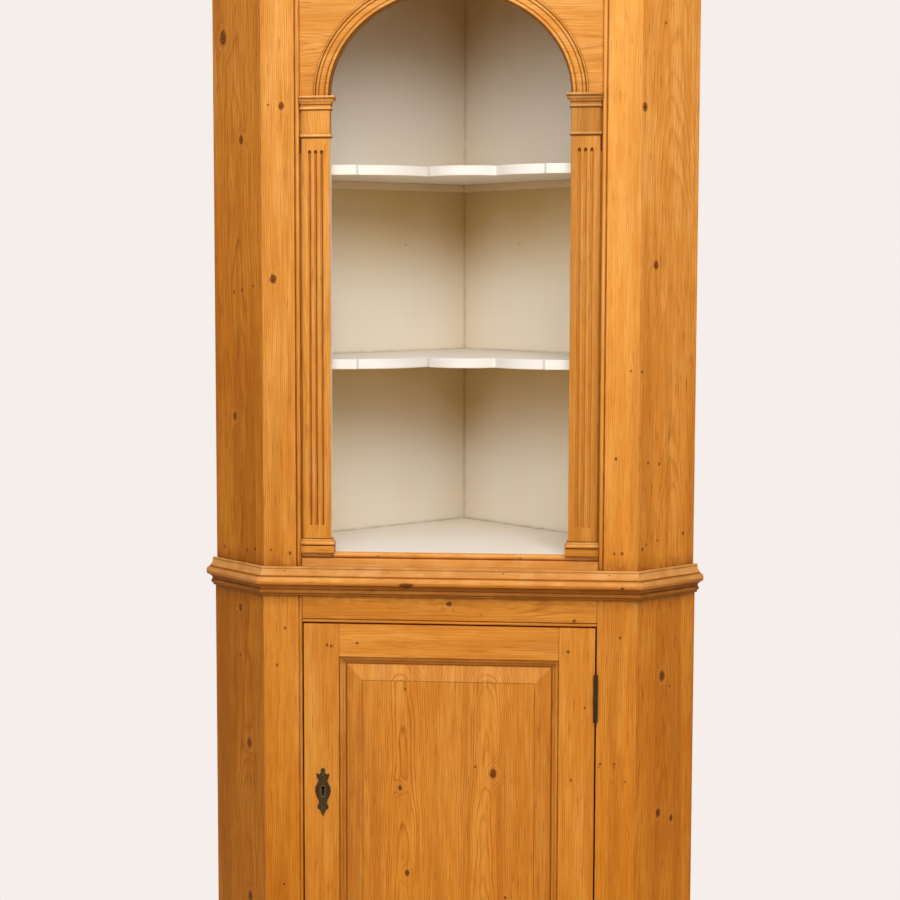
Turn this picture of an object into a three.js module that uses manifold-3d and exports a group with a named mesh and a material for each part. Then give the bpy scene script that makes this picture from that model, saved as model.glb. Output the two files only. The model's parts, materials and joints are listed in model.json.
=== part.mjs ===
// A pine corner cupboard in two stages. The open upper stage has an arched
// opening between fluted pilasters, and painted shelves; the lower stage has
// one panelled door with butt hinges and a lock. Millimetres, +Z up, the front
// faces -Y and the two back walls meet at +Y.

import * as THREE from 'three';
import { mergeVertices } from 'three/addons/utils/BufferGeometryUtils.js';
import Module from 'manifold-3d';

const wasm = await Module();
wasm.setup();

// Plan of the two cases
const frontWidth = 680;
const cantWidth = 150.5;
const lowerCantWidth = 154;
const lowerStepOut = 2;

// Timber and clearances
const frameThickness = 22;
const boardThickness = 18;
const backThickness = 14;
const seam = 0.3;
const overrun = 5;

// Heights of the lower case
const lowerCaseHeight = 965;
const doorwayFoot = 150;
const topRailWidth = 81;
const bottomRailWidth = 90;
const lowerShelfTop = 500;

// Heights of the upper case
const sillRailHeight = 47;
const crownHeight = 121;
const shelfSpacing = 353;

// Face frames
const lowerStileWidth = 71;
const upperStileWidth = 69;
const pilasterWidth = 51.5;
const archRise = 182;
const infillSetback = 10;
const stileBead = 7;
const doorwayBead = 5;
const sillBead = 9;
const quirkWidth = 2;
const quirkDepth = 2.5;

// Pilasters, from the sill up
const pilasterGap = 4;
const pilasterSetback = 4;
const pilasterBaseHeight = 26;
const pilasterBaseOut = 6.5;
const shaftHeight = 727;
const astragalHeight = 7;
const astragalOut = 2.5;
const neckHeight = 41.5;
const capitalHeight = 25.5;
const capitalOut = 9.5;
const fluteCount = 3;
const flutePitch = 11;
const fluteWidth = 6;
const fluteFootMargin = 24;
const fluteHeadMargin = 22;

// Mouldings
const architraveWidth = 29;
const architraveOut = 11;
const architraveReveal = 1.5;
const waistHeight = 53;
const waistOut = 21;
const waistRise = 22;
const corniceHeight = 66;
const corniceOut = 50;
const plinthHeight = 105;
const plinthOut = 14;

// Shelves
const shelfSetback = 14;
const shelfCuspInset = 45.5;
const shelfCuspStep = 8;
const shelfSweepLeft = 98;
const shelfSweepRight = 70;
const shelfBowStart = 84;
const shelfBowReach = 23;
const shelfBowLeft = 45;
const shelfBowRight = 78;
const lowerShelfSetback = 40;
const cleatHeight = 14;
const cleatWidth = 18;

// Door
const doorGap = 3;
const doorFrameWidth = 65;
const doorHeadWidth = 60.5;
const doorFootWidth = 80;
const stickingWidth = 13;
const stickingDepth = 8;
const grooveDepth = 9;
const grooveWidth = 6;
const panelTongue = 8;
const panelMargin = 31;
const panelShoulder = 1;
const panelSetback = 1.5;

// Hinges
const hingeHeight = 85;
const hingeInset = 128;
const knuckleCount = 5;
const knuckleRadius = 4.15;
const pinRadius = 2;
const pinClearance = 0.06;
const pinHeadRadius = 3.2;
const pinHeadHeight = 2;
const leafThickness = 2;
const leafDepth = 17;

// Lock
const keyDrop = 308;
const keyBackset = 34.5;
const keyholeRadius = 3.5;
const keySlotWidth = 3.4;
const keySlotDrop = 15;
const lockWidth = 50;
const lockHeight = 64;
const lockDepth = 11;
const boltHeight = 14;
const boltThickness = 6;
const boltLength = 34;
const boltThrow = 8;
const boltInset = 0.5;
const boltClearance = 0.5;
const talonWidth = 6;
const talonDepth = 4;
const escutcheonHeight = 91;
const escutcheonWidth = 29;
const escutcheonThickness = 2;
const escutcheonDrop = 7.5;

// Moulding outlines: each step is a line, or a curve by way of one control
// point, in shares of the moulding's projection and of its height
const waistShares = [
  ['line', 0.27, 1], ['line', 0.27, 0.95],
  ['curve', 0.32, 0.77, 0.64, 0.72], ['line', 0.6, 0.685],
  ['curve', 1, 0.69, 1, 0.54], ['curve', 1, 0.395, 0.62, 0.385],
  ['line', 0.56, 0.34], ['curve', 0.36, 0.34, 0.34, 0.23],
  ['curve', 0.5, 0.2, 0.48, 0.11], ['line', 0.26, 0.06], ['line', 0.26, 0],
];
const corniceShares = [
  ['line', 1, 1], ['line', 1, 0.88], ['line', 0.93, 0.88],
  ['curve', 0.9, 0.68, 0.66, 0.62], ['curve', 0.46, 0.57, 0.44, 0.4],
  ['line', 0.38, 0.4], ['line', 0.38, 0.34],
  ['curve', 0.2, 0.3, 0.17, 0.15], ['line', 0.24, 0.13],
  ['curve', 0.27, 0.075, 0.24, 0.02], ['line', 0.14, 0],
];
const plinthShares = [
  ['line', 0.4, 1], ['curve', 0.95, 0.98, 1, 0.9], ['line', 1, 0],
];
const architraveShares = [
  ['line', 0.42, 0], ['curve', 0.62, 0.06, 0.5, 0.13], ['line', 0.34, 0.15],
  ['curve', 0.7, 0.22, 0.6, 0.34], ['line', 0.44, 0.37],
  ['curve', 0.5, 0.62, 0.82, 0.72], ['line', 0.82, 0.76],
  ['curve', 1.06, 0.86, 0.9, 0.97], ['line', 0.72, 1],
];
const stickingShares = [
  ['line', 0.12, 1], ['line', 0.12, 0.9], ['curve', 0.2, 0.55, 0.55, 0.45],
  ['curve', 0.9, 0.35, 0.92, 0.14], ['line', 1, 0],
];

// Pilaster stages: each row is a share of the projection and of the height
const baseShares = [[0.85, 0], [0.85, 0.5], [0.5, 0.52], [0.5, 0.57], [1, 0.6], [0.95, 0.7],
  [0.55, 0.8], [0.4, 0.9], [0.1, 1]];
const astragalShares = [[0.3, 0], [0.85, 0.15], [1, 0.5], [0.85, 0.85], [0.3, 1]];
const capitalShares = [[0.1, 0], [0.28, 0.04], [0.28, 0.18], [0.12, 0.22], [0.16, 0.42],
  [0.4, 0.6], [0.66, 0.64], [0.8, 0.68], [0.86, 0.82], [0.74, 0.84], [1, 0.88], [1, 1]];

// Right half of the lock plate, from its crown down: each row is a share of
// the half width and of the height
const plateShares = [[0.12, 1], [0.3, 0.96], [0.22, 0.91], [0.5, 0.87], [0.85, 0.89],
  [0.75, 0.8], [0.55, 0.75], [0.72, 0.68], [0.98, 0.6], [1, 0.52], [0.85, 0.42],
  [0.6, 0.34], [0.5, 0.27], [0.72, 0.22], [0.68, 0.16], [0.4, 0.14], [0.28, 0.09]];

// Segment counts
const curveSteps = 4;
const beadSteps = 6;
const archSteps = 32;
const fluteSides = 12;
const fluteCapSteps = 3;
const pinSides = 16;
const keyholeSides = 16;
const sweepSteps = 8;

// Ratios of the plan: the sides stand at 45 degrees, so a board's mitre runs
// back by the tangent of half that angle
const root2 = Math.SQRT2;
const mitre = root2 - 1;
const sides = [['left', -1], ['right', 1]];

// Finishes
const honeyPine = { color: 0xd9984c, roughness: 0.45, metalness: 0 };
const deepPine = { color: 0xc9822f, roughness: 0.45, metalness: 0 };
const barePine = { color: 0xb98a52, roughness: 0.75, metalness: 0 };
const whitePaint = { color: 0xe9e2d6, roughness: 0.6, metalness: 0 };
const darkIron = { color: 0x3b2f22, roughness: 0.5, metalness: 0.9 };
const agedBrass = { color: 0x5a431f, roughness: 0.45, metalness: 0.9 };

// Derived heights
const doorwayHead = lowerCaseHeight - topRailWidth;
const sillTop = lowerCaseHeight + sillRailHeight;
const pilasterFoot = sillTop;
const shaftFoot = pilasterFoot + pilasterBaseHeight;
const shaftHead = shaftFoot + shaftHeight;
const neckFoot = shaftHead + astragalHeight;
const neckHead = neckFoot + neckHeight;
const springing = neckHead + capitalHeight;
const caseTop = springing + archRise + crownHeight;
const overallHeight = caseTop + boardThickness;
const doorFoot = doorwayFoot + doorGap;
const doorHead = doorwayHead - doorGap;
const keyZ = doorHead - keyDrop;

// Derived plans: the front corners, the rear corners on the wall lines, and
// the apex where the wall lines meet
function casePlan(faceY, foldX, cant) {
  const run = cant / root2;
  return {
    faceY,
    backY: faceY + frameThickness,
    foldX,
    cant,
    wallLength: (foldX + run) * root2,
    apexY: foldX + faceY + 2 * run,
  };
}

const upper = casePlan(0, frontWidth / 2, cantWidth);
const lower = casePlan(-lowerStepOut, frontWidth / 2 + lowerStepOut * mitre, lowerCantWidth);
const doorwayHalf = frontWidth / 2 - lowerStileWidth;
const infillHalf = frontWidth / 2 - upperStileWidth;
const archHalf = infillHalf - pilasterGap - pilasterWidth;
const shelfCuspX = archHalf - shelfCuspInset;
const infillFace = upper.faceY + infillSetback;
const infillBack = infillFace + boardThickness;

const cupboard = new THREE.Group();
cupboard.position.y = (corniceOut - Math.max(upper.apexY, lower.apexY)) / 2;

// Basic shapes

function addPiece(name, geometry, finish) {
  const mesh = new THREE.Mesh(geometry, new THREE.MeshStandardMaterial(finish));
  mesh.name = name;
  cupboard.add(mesh);
}

function flatShaded(geometry) {
  const plain = geometry.index ? geometry.toNonIndexed() : geometry;
  plain.computeVertexNormals();
  return plain;
}

function extrude(outline, hole) {
  const shape = new THREE.Shape(outline.map(([a, b]) => new THREE.Vector2(a, b)));
  if (hole) shape.holes.push(new THREE.Path(hole.map(([a, b]) => new THREE.Vector2(a, b))));
  return new THREE.ExtrudeGeometry(shape, { depth: 1, bevelEnabled: false });
}

// An outline in X and Y, raised from one height to another
function prismZ(outline, low, high) {
  const place = new THREE.Matrix4().makeScale(1, 1, high - low);
  return extrude(outline).applyMatrix4(place.setPosition(0, 0, low));
}

// An outline in X and Z, drawn out from front to back
function prismY(outline, front, back, hole) {
  const along = new THREE.Vector3(0, front - back, 0);
  const place = new THREE.Matrix4().makeBasis(
    new THREE.Vector3(1, 0, 0), new THREE.Vector3(0, 0, 1), along);
  return extrude(outline, hole).applyMatrix4(place.setPosition(0, back, 0));
}

// An outline in Y and Z, drawn out from left to right
function prismX(outline, left, right) {
  const along = new THREE.Vector3(right - left, 0, 0);
  const place = new THREE.Matrix4().makeBasis(
    new THREE.Vector3(0, 1, 0), new THREE.Vector3(0, 0, 1), along);
  return extrude(outline).applyMatrix4(place.setPosition(left, 0, 0));
}

function rectangle(low, high) {
  return [[low[0], low[1]], [high[0], low[1]], [high[0], high[1]], [low[0], high[1]]];
}

function block(low, high) {
  return prismZ(rectangle(low, high), low[2], high[2]);
}

function cylinder(radius, sideCount, x, y, low, high) {
  const round = new THREE.CylinderGeometry(radius, radius, high - low, sideCount);
  return round.rotateX(Math.PI / 2).translate(x, y, (low + high) / 2);
}

function arcPoints(centreX, centreY, radius, from, to, steps) {
  return Array.from({ length: steps + 1 }, (unused, step) => {
    const angle = from + (to - from) * step / steps;
    return [centreX + radius * Math.cos(angle), centreY + radius * Math.sin(angle)];
  });
}

// Points of a moulding's face from its table of shares, scaled to real sizes
function mouldingPoints(shares, out, height) {
  const points = [];
  for (const [kind, ...numbers] of shares) {
    const end = [numbers.at(-2) * out, numbers.at(-1) * height];
    if (kind === 'line') {
      points.push(end);
      continue;
    }
    const curve = new THREE.QuadraticBezierCurve(
      new THREE.Vector2(...points.at(-1)),
      new THREE.Vector2(numbers[0] * out, numbers[1] * height),
      new THREE.Vector2(...end));
    for (const point of curve.getPoints(curveSteps).slice(1)) points.push([point.x, point.y]);
  }
  return points;
}

// Triangles of a flat ring, wound the way its points run
function capTriangles(ring) {
  const normal = new THREE.Vector3();
  ring.forEach((point, index) => {
    const next = ring[(index + 1) % ring.length];
    normal.add(new THREE.Vector3(...point).cross(new THREE.Vector3(...next)));
  });
  const sizes = normal.toArray().map(Math.abs);
  const dropped = sizes.indexOf(Math.max(...sizes));
  const flat = ring.map((point) => new THREE.Vector2(...point.filter((unused, axis) => axis !== dropped)));
  const turn = Math.sign(THREE.ShapeUtils.area(flat));
  return THREE.ShapeUtils.triangulateShape(flat, []).map(([a, b, c]) => {
    const sameTurn = Math.sign(THREE.ShapeUtils.area([flat[a], flat[b], flat[c]])) === turn;
    return sameTurn ? [a, b, c] : [a, c, b];
  });
}

// A closed skin through a row of rings that have the same number of points
function loft(rings) {
  const count = rings[0].length;
  const last = (rings.length - 1) * count;
  const triangles = [];
  for (let start = 0; start < last; start += count) {
    for (let point = 0; point < count; point += 1) {
      const a = start + point;
      const b = start + (point + 1) % count;
      triangles.push([a, b, a + count], [b, b + count, a + count]);
    }
  }
  for (const [a, b, c] of capTriangles(rings[0])) triangles.push([a, c, b]);
  for (const [a, b, c] of capTriangles(rings.at(-1))) triangles.push([last + a, last + b, last + c]);
  const corners = rings.flat().map((point) => new THREE.Vector3(...point));
  const volume = triangles.reduce((sum, [a, b, c]) => (
    sum + corners[a].dot(corners[b].clone().cross(corners[c]))), 0);
  const facing = volume > 0 ? triangles : triangles.map(([a, b, c]) => [a, c, b]);
  const geometry = new THREE.BufferGeometry().setFromPoints(corners);
  geometry.setIndex(facing.flat());
  return flatShaded(geometry);
}

// Joining and cutting

function toSolid(geometry) {
  const bare = new THREE.BufferGeometry();
  bare.setAttribute('position', geometry.getAttribute('position'));
  bare.setIndex(geometry.index);
  const merged = mergeVertices(bare);
  const corners = merged.index.array;
  const triangles = [];
  for (let start = 0; start < corners.length; start += 3) {
    const [a, b, c] = corners.slice(start, start + 3);
    if (a !== b && b !== c && c !== a) triangles.push(a, b, c);
  }
  return new wasm.Manifold(new wasm.Mesh({
    numProp: 3,
    vertProperties: Float32Array.from(merged.getAttribute('position').array),
    triVerts: Uint32Array.from(triangles),
  }));
}

function toGeometry(solid) {
  const mesh = solid.getMesh();
  const geometry = new THREE.BufferGeometry();
  geometry.setAttribute('position', new THREE.BufferAttribute(Float32Array.from(mesh.vertProperties), 3));
  geometry.setIndex(new THREE.BufferAttribute(Uint32Array.from(mesh.triVerts), 1));
  return flatShaded(geometry);
}

function cutAway(body, cutters) {
  return toGeometry(cutters.reduce((solid, cutter) => solid.subtract(toSolid(cutter)), toSolid(body)));
}

function joined(parts) {
  const [first, ...rest] = parts.map(toSolid);
  return toGeometry(rest.reduce((solid, part) => solid.add(part), first));
}

// Places along the walls: along runs from the apex to the rear corner and
// inward runs square off the wall line into the case

function wallPoint(plan, side, along, inward) {
  return [side * (along - inward) / root2, plan.apexY - (along + inward) / root2];
}

function wallBoard(plan, side, along, inward) {
  return [
    wallPoint(plan, side, along[0], inward[0]), wallPoint(plan, side, along[1], inward[0]),
    wallPoint(plan, side, along[1], inward[1]), wallPoint(plan, side, along[0], inward[1]),
  ];
}

// The half of an outline that lies inside the case: from the given front line
// back along the side board and the wall to the apex
function roomPoints(plan, side, frontY) {
  const along = plan.wallLength - frameThickness - seam;
  const inward = (plan.apexY - frontY) * root2 - along;
  return [wallPoint(plan, side, along, inward), wallPoint(plan, side, along, backThickness + seam)];
}

function roomOutline(plan, frontY, frontPoints = []) {
  const inset = backThickness + seam;
  return [
    ...roomPoints(plan, 1, frontY),
    wallPoint(plan, 1, inset, inset),
    ...roomPoints(plan, -1, frontY).reverse(),
    ...frontPoints,
  ];
}

// Case carcass, the same for both stages

// The inner edge of a stile, with a bead and a quirk where one is worked
function stileEdge(plan, innerX, bead) {
  if (bead === 0) return [[innerX, plan.faceY]];
  const radius = bead / 2;
  const round = arcPoints(innerX + radius, plan.faceY + radius, radius, -Math.PI, 0, beadSteps);
  return [
    ...round,
    [innerX + bead, plan.faceY + quirkDepth + radius],
    [innerX + bead + quirkWidth, plan.faceY + quirkDepth + radius],
    [innerX + bead + quirkWidth, plan.faceY],
  ];
}

function stileOutline(plan, side, innerX, bead) {
  const outline = [
    [innerX, plan.backY],
    ...stileEdge(plan, innerX, bead),
    [plan.foldX, plan.faceY],
    [plan.foldX - frameThickness * mitre, plan.backY],
  ];
  return outline.map(([x, y]) => [side * x, y]);
}

function sideOutline(plan, side) {
  const outer = plan.wallLength;
  const inner = plan.wallLength - frameThickness;
  return [
    wallPoint(plan, side, inner, 0),
    wallPoint(plan, side, outer, 0),
    wallPoint(plan, side, outer, plan.cant - seam),
    wallPoint(plan, side, inner, plan.cant - frameThickness * mitre - seam),
  ];
}

// The right back runs past the left one at the apex
function backOutline(plan, side) {
  const start = side > 0 ? 0 : backThickness + seam;
  const end = plan.wallLength - frameThickness - seam;
  return wallBoard(plan, side, [start, end], [0, backThickness]);
}

function cleatOutline(plan, side) {
  const inner = backThickness + seam;
  const start = side > 0 ? inner : inner + cleatWidth + seam;
  const end = plan.wallLength - frameThickness - seam;
  return wallBoard(plan, side, [start, end], [inner, inner + cleatWidth]);
}

function addCleats(prefix, plan, shelfUnderside, finish) {
  for (const [word, side] of sides) {
    const outline = cleatOutline(plan, side);
    addPiece(`${prefix}_cleat_${word}`, prismZ(outline, shelfUnderside - cleatHeight, shelfUnderside), finish);
  }
}

// Mouldings that return round the canted sides

function mitredRing(plan, profile, side) {
  return profile.map(([out, z]) => [side * (plan.foldX + out * mitre), plan.faceY - out, z]);
}

// The end of a return: at the wall, or at the fold next to the front length
function cantRing(plan, profile, side, atFold) {
  return profile.map(([out, z]) => {
    const inward = atFold ? plan.cant + out * mitre - seam : 0;
    return [...wallPoint(plan, side, plan.wallLength + out, inward), z];
  });
}

function addReturnedMoulding(name, plan, shares, out, foot, height, finish) {
  const face = mouldingPoints(shares, out, height).map(([x, z]) => [x, z + foot]);
  const profileFrom = (base) => [[base, foot], [base, foot + height], ...face];
  const front = profileFrom(0);
  addPiece(`${name}_front`, loft([mitredRing(plan, front, -1), mitredRing(plan, front, 1)]), finish);
  const profile = profileFrom(seam);
  for (const [word, side] of sides) {
    addPiece(`${name}_${word}`, loft([
      cantRing(plan, profile, side, false), cantRing(plan, profile, side, true)]), finish);
  }
}

// Lower case

function railOutline(faceY, backY, foot, head, bead, beadAt) {
  const radius = bead / 2;
  const groove = faceY + quirkDepth + radius;
  if (beadAt === 'head') {
    return [
      [backY, foot], [backY, head],
      ...arcPoints(faceY + radius, head - radius, radius, Math.PI / 2, Math.PI * 1.5, beadSteps),
      [groove, head - bead], [groove, head - bead - quirkWidth],
      [faceY, head - bead - quirkWidth], [faceY, foot],
    ];
  }
  return [
    [backY, head], [backY, foot],
    ...arcPoints(faceY + radius, foot + radius, radius, -Math.PI / 2, -Math.PI * 1.5, beadSteps),
    [groove, foot + bead], [groove, foot + bead + quirkWidth],
    [faceY, foot + bead + quirkWidth], [faceY, head],
  ];
}

// Centre line of the hinge pins, proud of the door's face at its closing gap
const doorEdge = doorwayHalf - doorGap;
const doorFace = lower.faceY;
const doorBack = lower.backY;
const hingeX = doorwayHalf - doorGap / 2;
const hingeY = doorFace - seam - knuckleRadius;
const hingeCentres = [['upper', doorHead - hingeInset], ['lower', doorFoot + hingeInset]];
const leafOffset = seam / 2;
const boltY = doorBack - lockDepth / 2;

function hingeSeat(side, centre) {
  const near = hingeX + side * leafOffset;
  const far = hingeX + side * (leafOffset + leafThickness + seam);
  return block(
    [Math.min(near, far), doorFace - overrun, centre - hingeHeight / 2 - seam],
    [Math.max(near, far), doorFace + leafDepth + seam, centre + hingeHeight / 2 + seam]);
}

function boltSpace(left, right) {
  return block(
    [left, boltY - boltThickness / 2 - boltClearance, keyZ - boltHeight / 2 - boltClearance],
    [right, boltY + boltThickness / 2 + boltClearance, keyZ + boltHeight / 2 + boltClearance]);
}

function addLowerCase() {
  const leftStile = prismZ(stileOutline(lower, -1, doorwayHalf, doorwayBead), 0, lowerCaseHeight);
  const mortiseEnd = -doorwayHalf - boltThrow - overrun / 2;
  addPiece('lower_stile_left', cutAway(leftStile, [
    boltSpace(mortiseEnd, -doorwayHalf + overrun)]), deepPine);
  const rightStile = prismZ(stileOutline(lower, 1, doorwayHalf, 0), 0, lowerCaseHeight);
  const seats = hingeCentres.map(([, centre]) => hingeSeat(1, centre));
  addPiece('lower_stile_right', cutAway(rightStile, seats), deepPine);
  for (const [word, side] of sides) {
    addPiece(`lower_side_${word}`, prismZ(sideOutline(lower, side), 0, lowerCaseHeight), deepPine);
    addPiece(`lower_back_${word}`, prismZ(backOutline(lower, side), 0, lowerCaseHeight), barePine);
  }
  const railHalf = doorwayHalf - seam;
  const headRail = railOutline(lower.faceY, lower.backY, doorwayHead, lowerCaseHeight, doorwayBead, 'foot');
  addPiece('lower_top_rail', prismX(headRail, -railHalf, railHalf), deepPine);
  addPiece('lower_bottom_rail', block(
    [-railHalf, lower.faceY, doorwayFoot - bottomRailWidth],
    [railHalf, lower.backY, doorwayFoot]), deepPine);
  const room = roomOutline(lower, lower.backY + seam);
  addPiece('bottom_board', prismZ(room, doorwayFoot - boardThickness, doorwayFoot), barePine);
  addPiece('lower_top_board', prismZ(room, lowerCaseHeight - boardThickness, lowerCaseHeight), barePine);
  const shelf = roomOutline(lower, lower.backY + lowerShelfSetback);
  addPiece('lower_shelf', prismZ(shelf, lowerShelfTop - boardThickness, lowerShelfTop), barePine);
  addCleats('lower_shelf', lower, lowerShelfTop - boardThickness, barePine);
  addReturnedMoulding('plinth', lower, plinthShares, plinthOut, 0, plinthHeight, deepPine);
  addReturnedMoulding('waist_moulding', lower, waistShares, waistOut,
    lowerCaseHeight + waistRise - waistHeight, waistHeight, honeyPine);
}

// Upper case

// Plan of a pilaster at one height: its front stands on the infill's face and
// its back part fills the jamb to the stile
function pilasterRing(side, out) {
  const outer = Math.min(infillHalf - pilasterGap + out, infillHalf - seam);
  const inner = archHalf - out;
  const face = infillFace - (infillSetback - pilasterSetback) - out;
  const edge = infillHalf - seam;
  const ring = [
    [inner, infillBack], [edge, infillBack], [edge, infillFace],
    [outer, infillFace], [outer, face], [inner, face],
  ];
  return ring.map(([x, y]) => [side * x, y]);
}

function pilasterStage(side, shares, out, foot, height) {
  return shares.map(([outShare, heightShare]) => (
    pilasterRing(side, outShare * out).map((point) => [...point, foot + heightShare * height])));
}

function flute(x) {
  const radius = fluteWidth / 2;
  const face = infillFace - (infillSetback - pilasterSetback);
  const low = shaftFoot + fluteFootMargin + radius;
  const high = shaftHead - fluteHeadMargin - radius;
  const lowerEnd = arcPoints(0, low, radius, -Math.PI / 2, 0, fluteCapSteps);
  const upperEnd = arcPoints(0, high, radius, 0, Math.PI / 2, fluteCapSteps);
  lowerEnd[0][0] = 0;
  upperEnd[fluteCapSteps][0] = 0;
  const outline = [...lowerEnd, ...upperEnd].map(([a, b]) => new THREE.Vector2(a, b));
  return new THREE.LatheGeometry(outline, fluteSides).rotateX(Math.PI / 2).translate(x, face, 0);
}

function addPilaster(word, side) {
  addPiece(`pilaster_base_${word}`, loft(
    pilasterStage(side, baseShares, pilasterBaseOut, pilasterFoot, pilasterBaseHeight)), honeyPine);
  const shaft = prismZ(pilasterRing(side, 0), shaftFoot, shaftHead);
  const centre = side * (archHalf + infillHalf - pilasterGap) / 2;
  const flutes = Array.from({ length: fluteCount }, (unused, index) => (
    flute(centre + (index - (fluteCount - 1) / 2) * flutePitch)));
  addPiece(`pilaster_shaft_${word}`, cutAway(shaft, flutes), honeyPine);
  addPiece(`capital_${word}`, loft([
    ...pilasterStage(side, astragalShares, astragalOut, shaftHead, astragalHeight),
    ...pilasterStage(side, [[0, 0], [0, 1]], 0, neckFoot, neckHeight),
    ...pilasterStage(side, capitalShares, capitalOut, neckHead, capitalHeight),
  ]), honeyPine);
}

// A point of the arch, a half ellipse on the springing line, from right to left
function archPoint(step, offset) {
  const angle = Math.PI * step / archSteps;
  return [
    (archHalf + offset) * Math.cos(angle),
    springing + (archRise + offset) * Math.abs(Math.sin(angle)),
  ];
}

function archOutline() {
  const edge = infillHalf - seam;
  const curve = Array.from({ length: archSteps + 1 }, (unused, step) => archPoint(step, 0));
  return [[-edge, springing], [-edge, caseTop], [edge, caseTop], [edge, springing], ...curve];
}

function architrave() {
  const face = mouldingPoints(architraveShares, architraveOut, architraveWidth);
  const outer = architraveReveal + architraveWidth;
  const profile = [[0, architraveWidth], [0, 0], ...face];
  return loft(Array.from({ length: archSteps + 1 }, (unused, step) => (
    profile.map(([out, width]) => {
      const [x, z] = archPoint(step, outer - width);
      return [x, infillFace - out, z];
    }))));
}

// Front edge of a display shelf, from left to right: a straight end, a small
// cusp, a hollow sweep and a bowed middle, then the same again
function shelfFront(frontY) {
  const sweep = (side, bowX, depth) => {
    const start = new THREE.Vector2(side * shelfCuspX, frontY + shelfCuspStep);
    const end = new THREE.Vector2(side * bowX, frontY + depth);
    const control = new THREE.Vector2((start.x + 2 * end.x) / 3, start.y + (end.y - start.y) / 6);
    return new THREE.QuadraticBezierCurve(start, control, end).getPoints(sweepSteps);
  };
  const middle = (shelfBowRight - shelfBowLeft) / 2;
  const bow = new THREE.QuadraticBezierCurve(
    new THREE.Vector2(-shelfBowLeft, frontY + shelfBowStart),
    new THREE.Vector2(middle, frontY + shelfBowReach),
    new THREE.Vector2(shelfBowRight, frontY + shelfSweepRight));
  const curves = [
    ...sweep(-1, shelfBowLeft, shelfSweepLeft),
    ...bow.getPoints(sweepSteps),
    ...sweep(1, shelfBowRight, shelfSweepRight).reverse().slice(1),
  ];
  return [[-shelfCuspX, frontY], ...curves.map((point) => [point.x, point.y]), [shelfCuspX, frontY]];
}

function addUpperCase() {
  for (const [word, side] of sides) {
    const stile = stileOutline(upper, side, infillHalf, stileBead);
    addPiece(`upper_stile_${word}`, prismZ(stile, lowerCaseHeight, caseTop), honeyPine);
    addPiece(`upper_side_${word}`, prismZ(sideOutline(upper, side), lowerCaseHeight, caseTop), honeyPine);
    addPiece(`upper_back_${word}`, prismZ(backOutline(upper, side), lowerCaseHeight, caseTop), whitePaint);
    addPilaster(word, side);
  }
  const sill = railOutline(infillFace, infillBack, lowerCaseHeight, sillTop, sillBead, 'head');
  addPiece('sill_rail', prismX(sill, seam - infillHalf, infillHalf - seam), honeyPine);
  addPiece('arch_board', prismY(archOutline(), infillFace, infillBack), honeyPine);
  addPiece('arch_moulding', architrave(), honeyPine);
  const floor = roomOutline(upper, infillBack + seam);
  addPiece('upper_floor_board', prismZ(floor, sillTop - boardThickness, sillTop), whitePaint);
  const shelfY = upper.backY + shelfSetback;
  const shelfOutline = roomOutline(upper, shelfY, shelfFront(shelfY));
  ['middle_shelf', 'upper_shelf'].forEach((name, index) => {
    const top = sillTop + (index + 1) * shelfSpacing;
    addPiece(name, prismZ(shelfOutline, top - boardThickness, top), whitePaint);
    addCleats(name, upper, top - boardThickness, whitePaint);
  });
  const lid = [1, -1].map((side) => [
    wallPoint(upper, side, upper.wallLength, upper.cant), wallPoint(upper, side, upper.wallLength, 0)]);
  addPiece('upper_top_board', prismZ(
    [...lid[0], [0, upper.apexY], ...lid[1].reverse()], caseTop, overallHeight), barePine);
  addReturnedMoulding('cornice', upper, corniceShares, corniceOut,
    overallHeight - corniceHeight, corniceHeight, honeyPine);
}

// Door

// One worked inner edge of the door frame, mitred at both ends: it runs from
// the sight edge out to the square body of the stile or rail
function stickingProfile() {
  const grooveFront = doorFace + stickingDepth;
  const grooveBack = grooveFront + grooveWidth + 2 * seam;
  const face = mouldingPoints(stickingShares, stickingDepth, stickingWidth);
  return [
    [stickingWidth + seam, doorBack], [stickingWidth + seam, doorFace + face[0][0]],
    ...face.map(([depth, distance]) => [distance, doorFace + depth]),
    [grooveDepth, grooveFront], [grooveDepth, grooveBack], [0, grooveBack], [0, doorBack],
  ];
}

const sightHalf = doorEdge - doorFrameWidth - stickingWidth;
const sightFoot = doorFoot + doorFootWidth + stickingWidth;
const sightHead = doorHead - doorHeadWidth - stickingWidth;

function doorStile(side) {
  const bodyEdge = sightHalf + stickingWidth;
  const body = block(
    [Math.min(side * bodyEdge, side * doorEdge), doorFace, doorFoot],
    [Math.max(side * bodyEdge, side * doorEdge), doorBack, doorHead]);
  const profile = stickingProfile();
  const edge = (z, reach) => profile.map(([distance, y]) => [
    side * (sightHalf + distance), y, z + reach * distance]);
  return joined([body, loft([edge(sightFoot, -1), edge(sightHead, 1)])]);
}

function doorRail(low, high, sightZ, outward) {
  const bodyHalf = sightHalf + stickingWidth - seam;
  const body = block([-bodyHalf, doorFace, low], [bodyHalf, doorBack, high]);
  const profile = stickingProfile();
  const edge = (side) => profile.map(([distance, y]) => [
    side * (sightHalf + Math.min(distance, stickingWidth) - seam), y, sightZ + outward * distance]);
  return joined([body, loft([edge(-1), edge(1)])]);
}

function doorPanel() {
  const front = doorFace + stickingDepth + seam;
  const levels = [
    [-panelTongue, front + grooveWidth],
    [-panelTongue, front],
    [0, front],
    [panelMargin, doorFace + panelSetback + panelShoulder],
    [panelMargin, doorFace + panelSetback],
  ];
  return loft(levels.map(([inset, y]) => rectangle(
    [inset - sightHalf, sightFoot + inset], [sightHalf - inset, sightHead - inset],
  ).map(([x, z]) => [x, y, z])));
}

const keyX = keyBackset - doorEdge;

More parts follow.
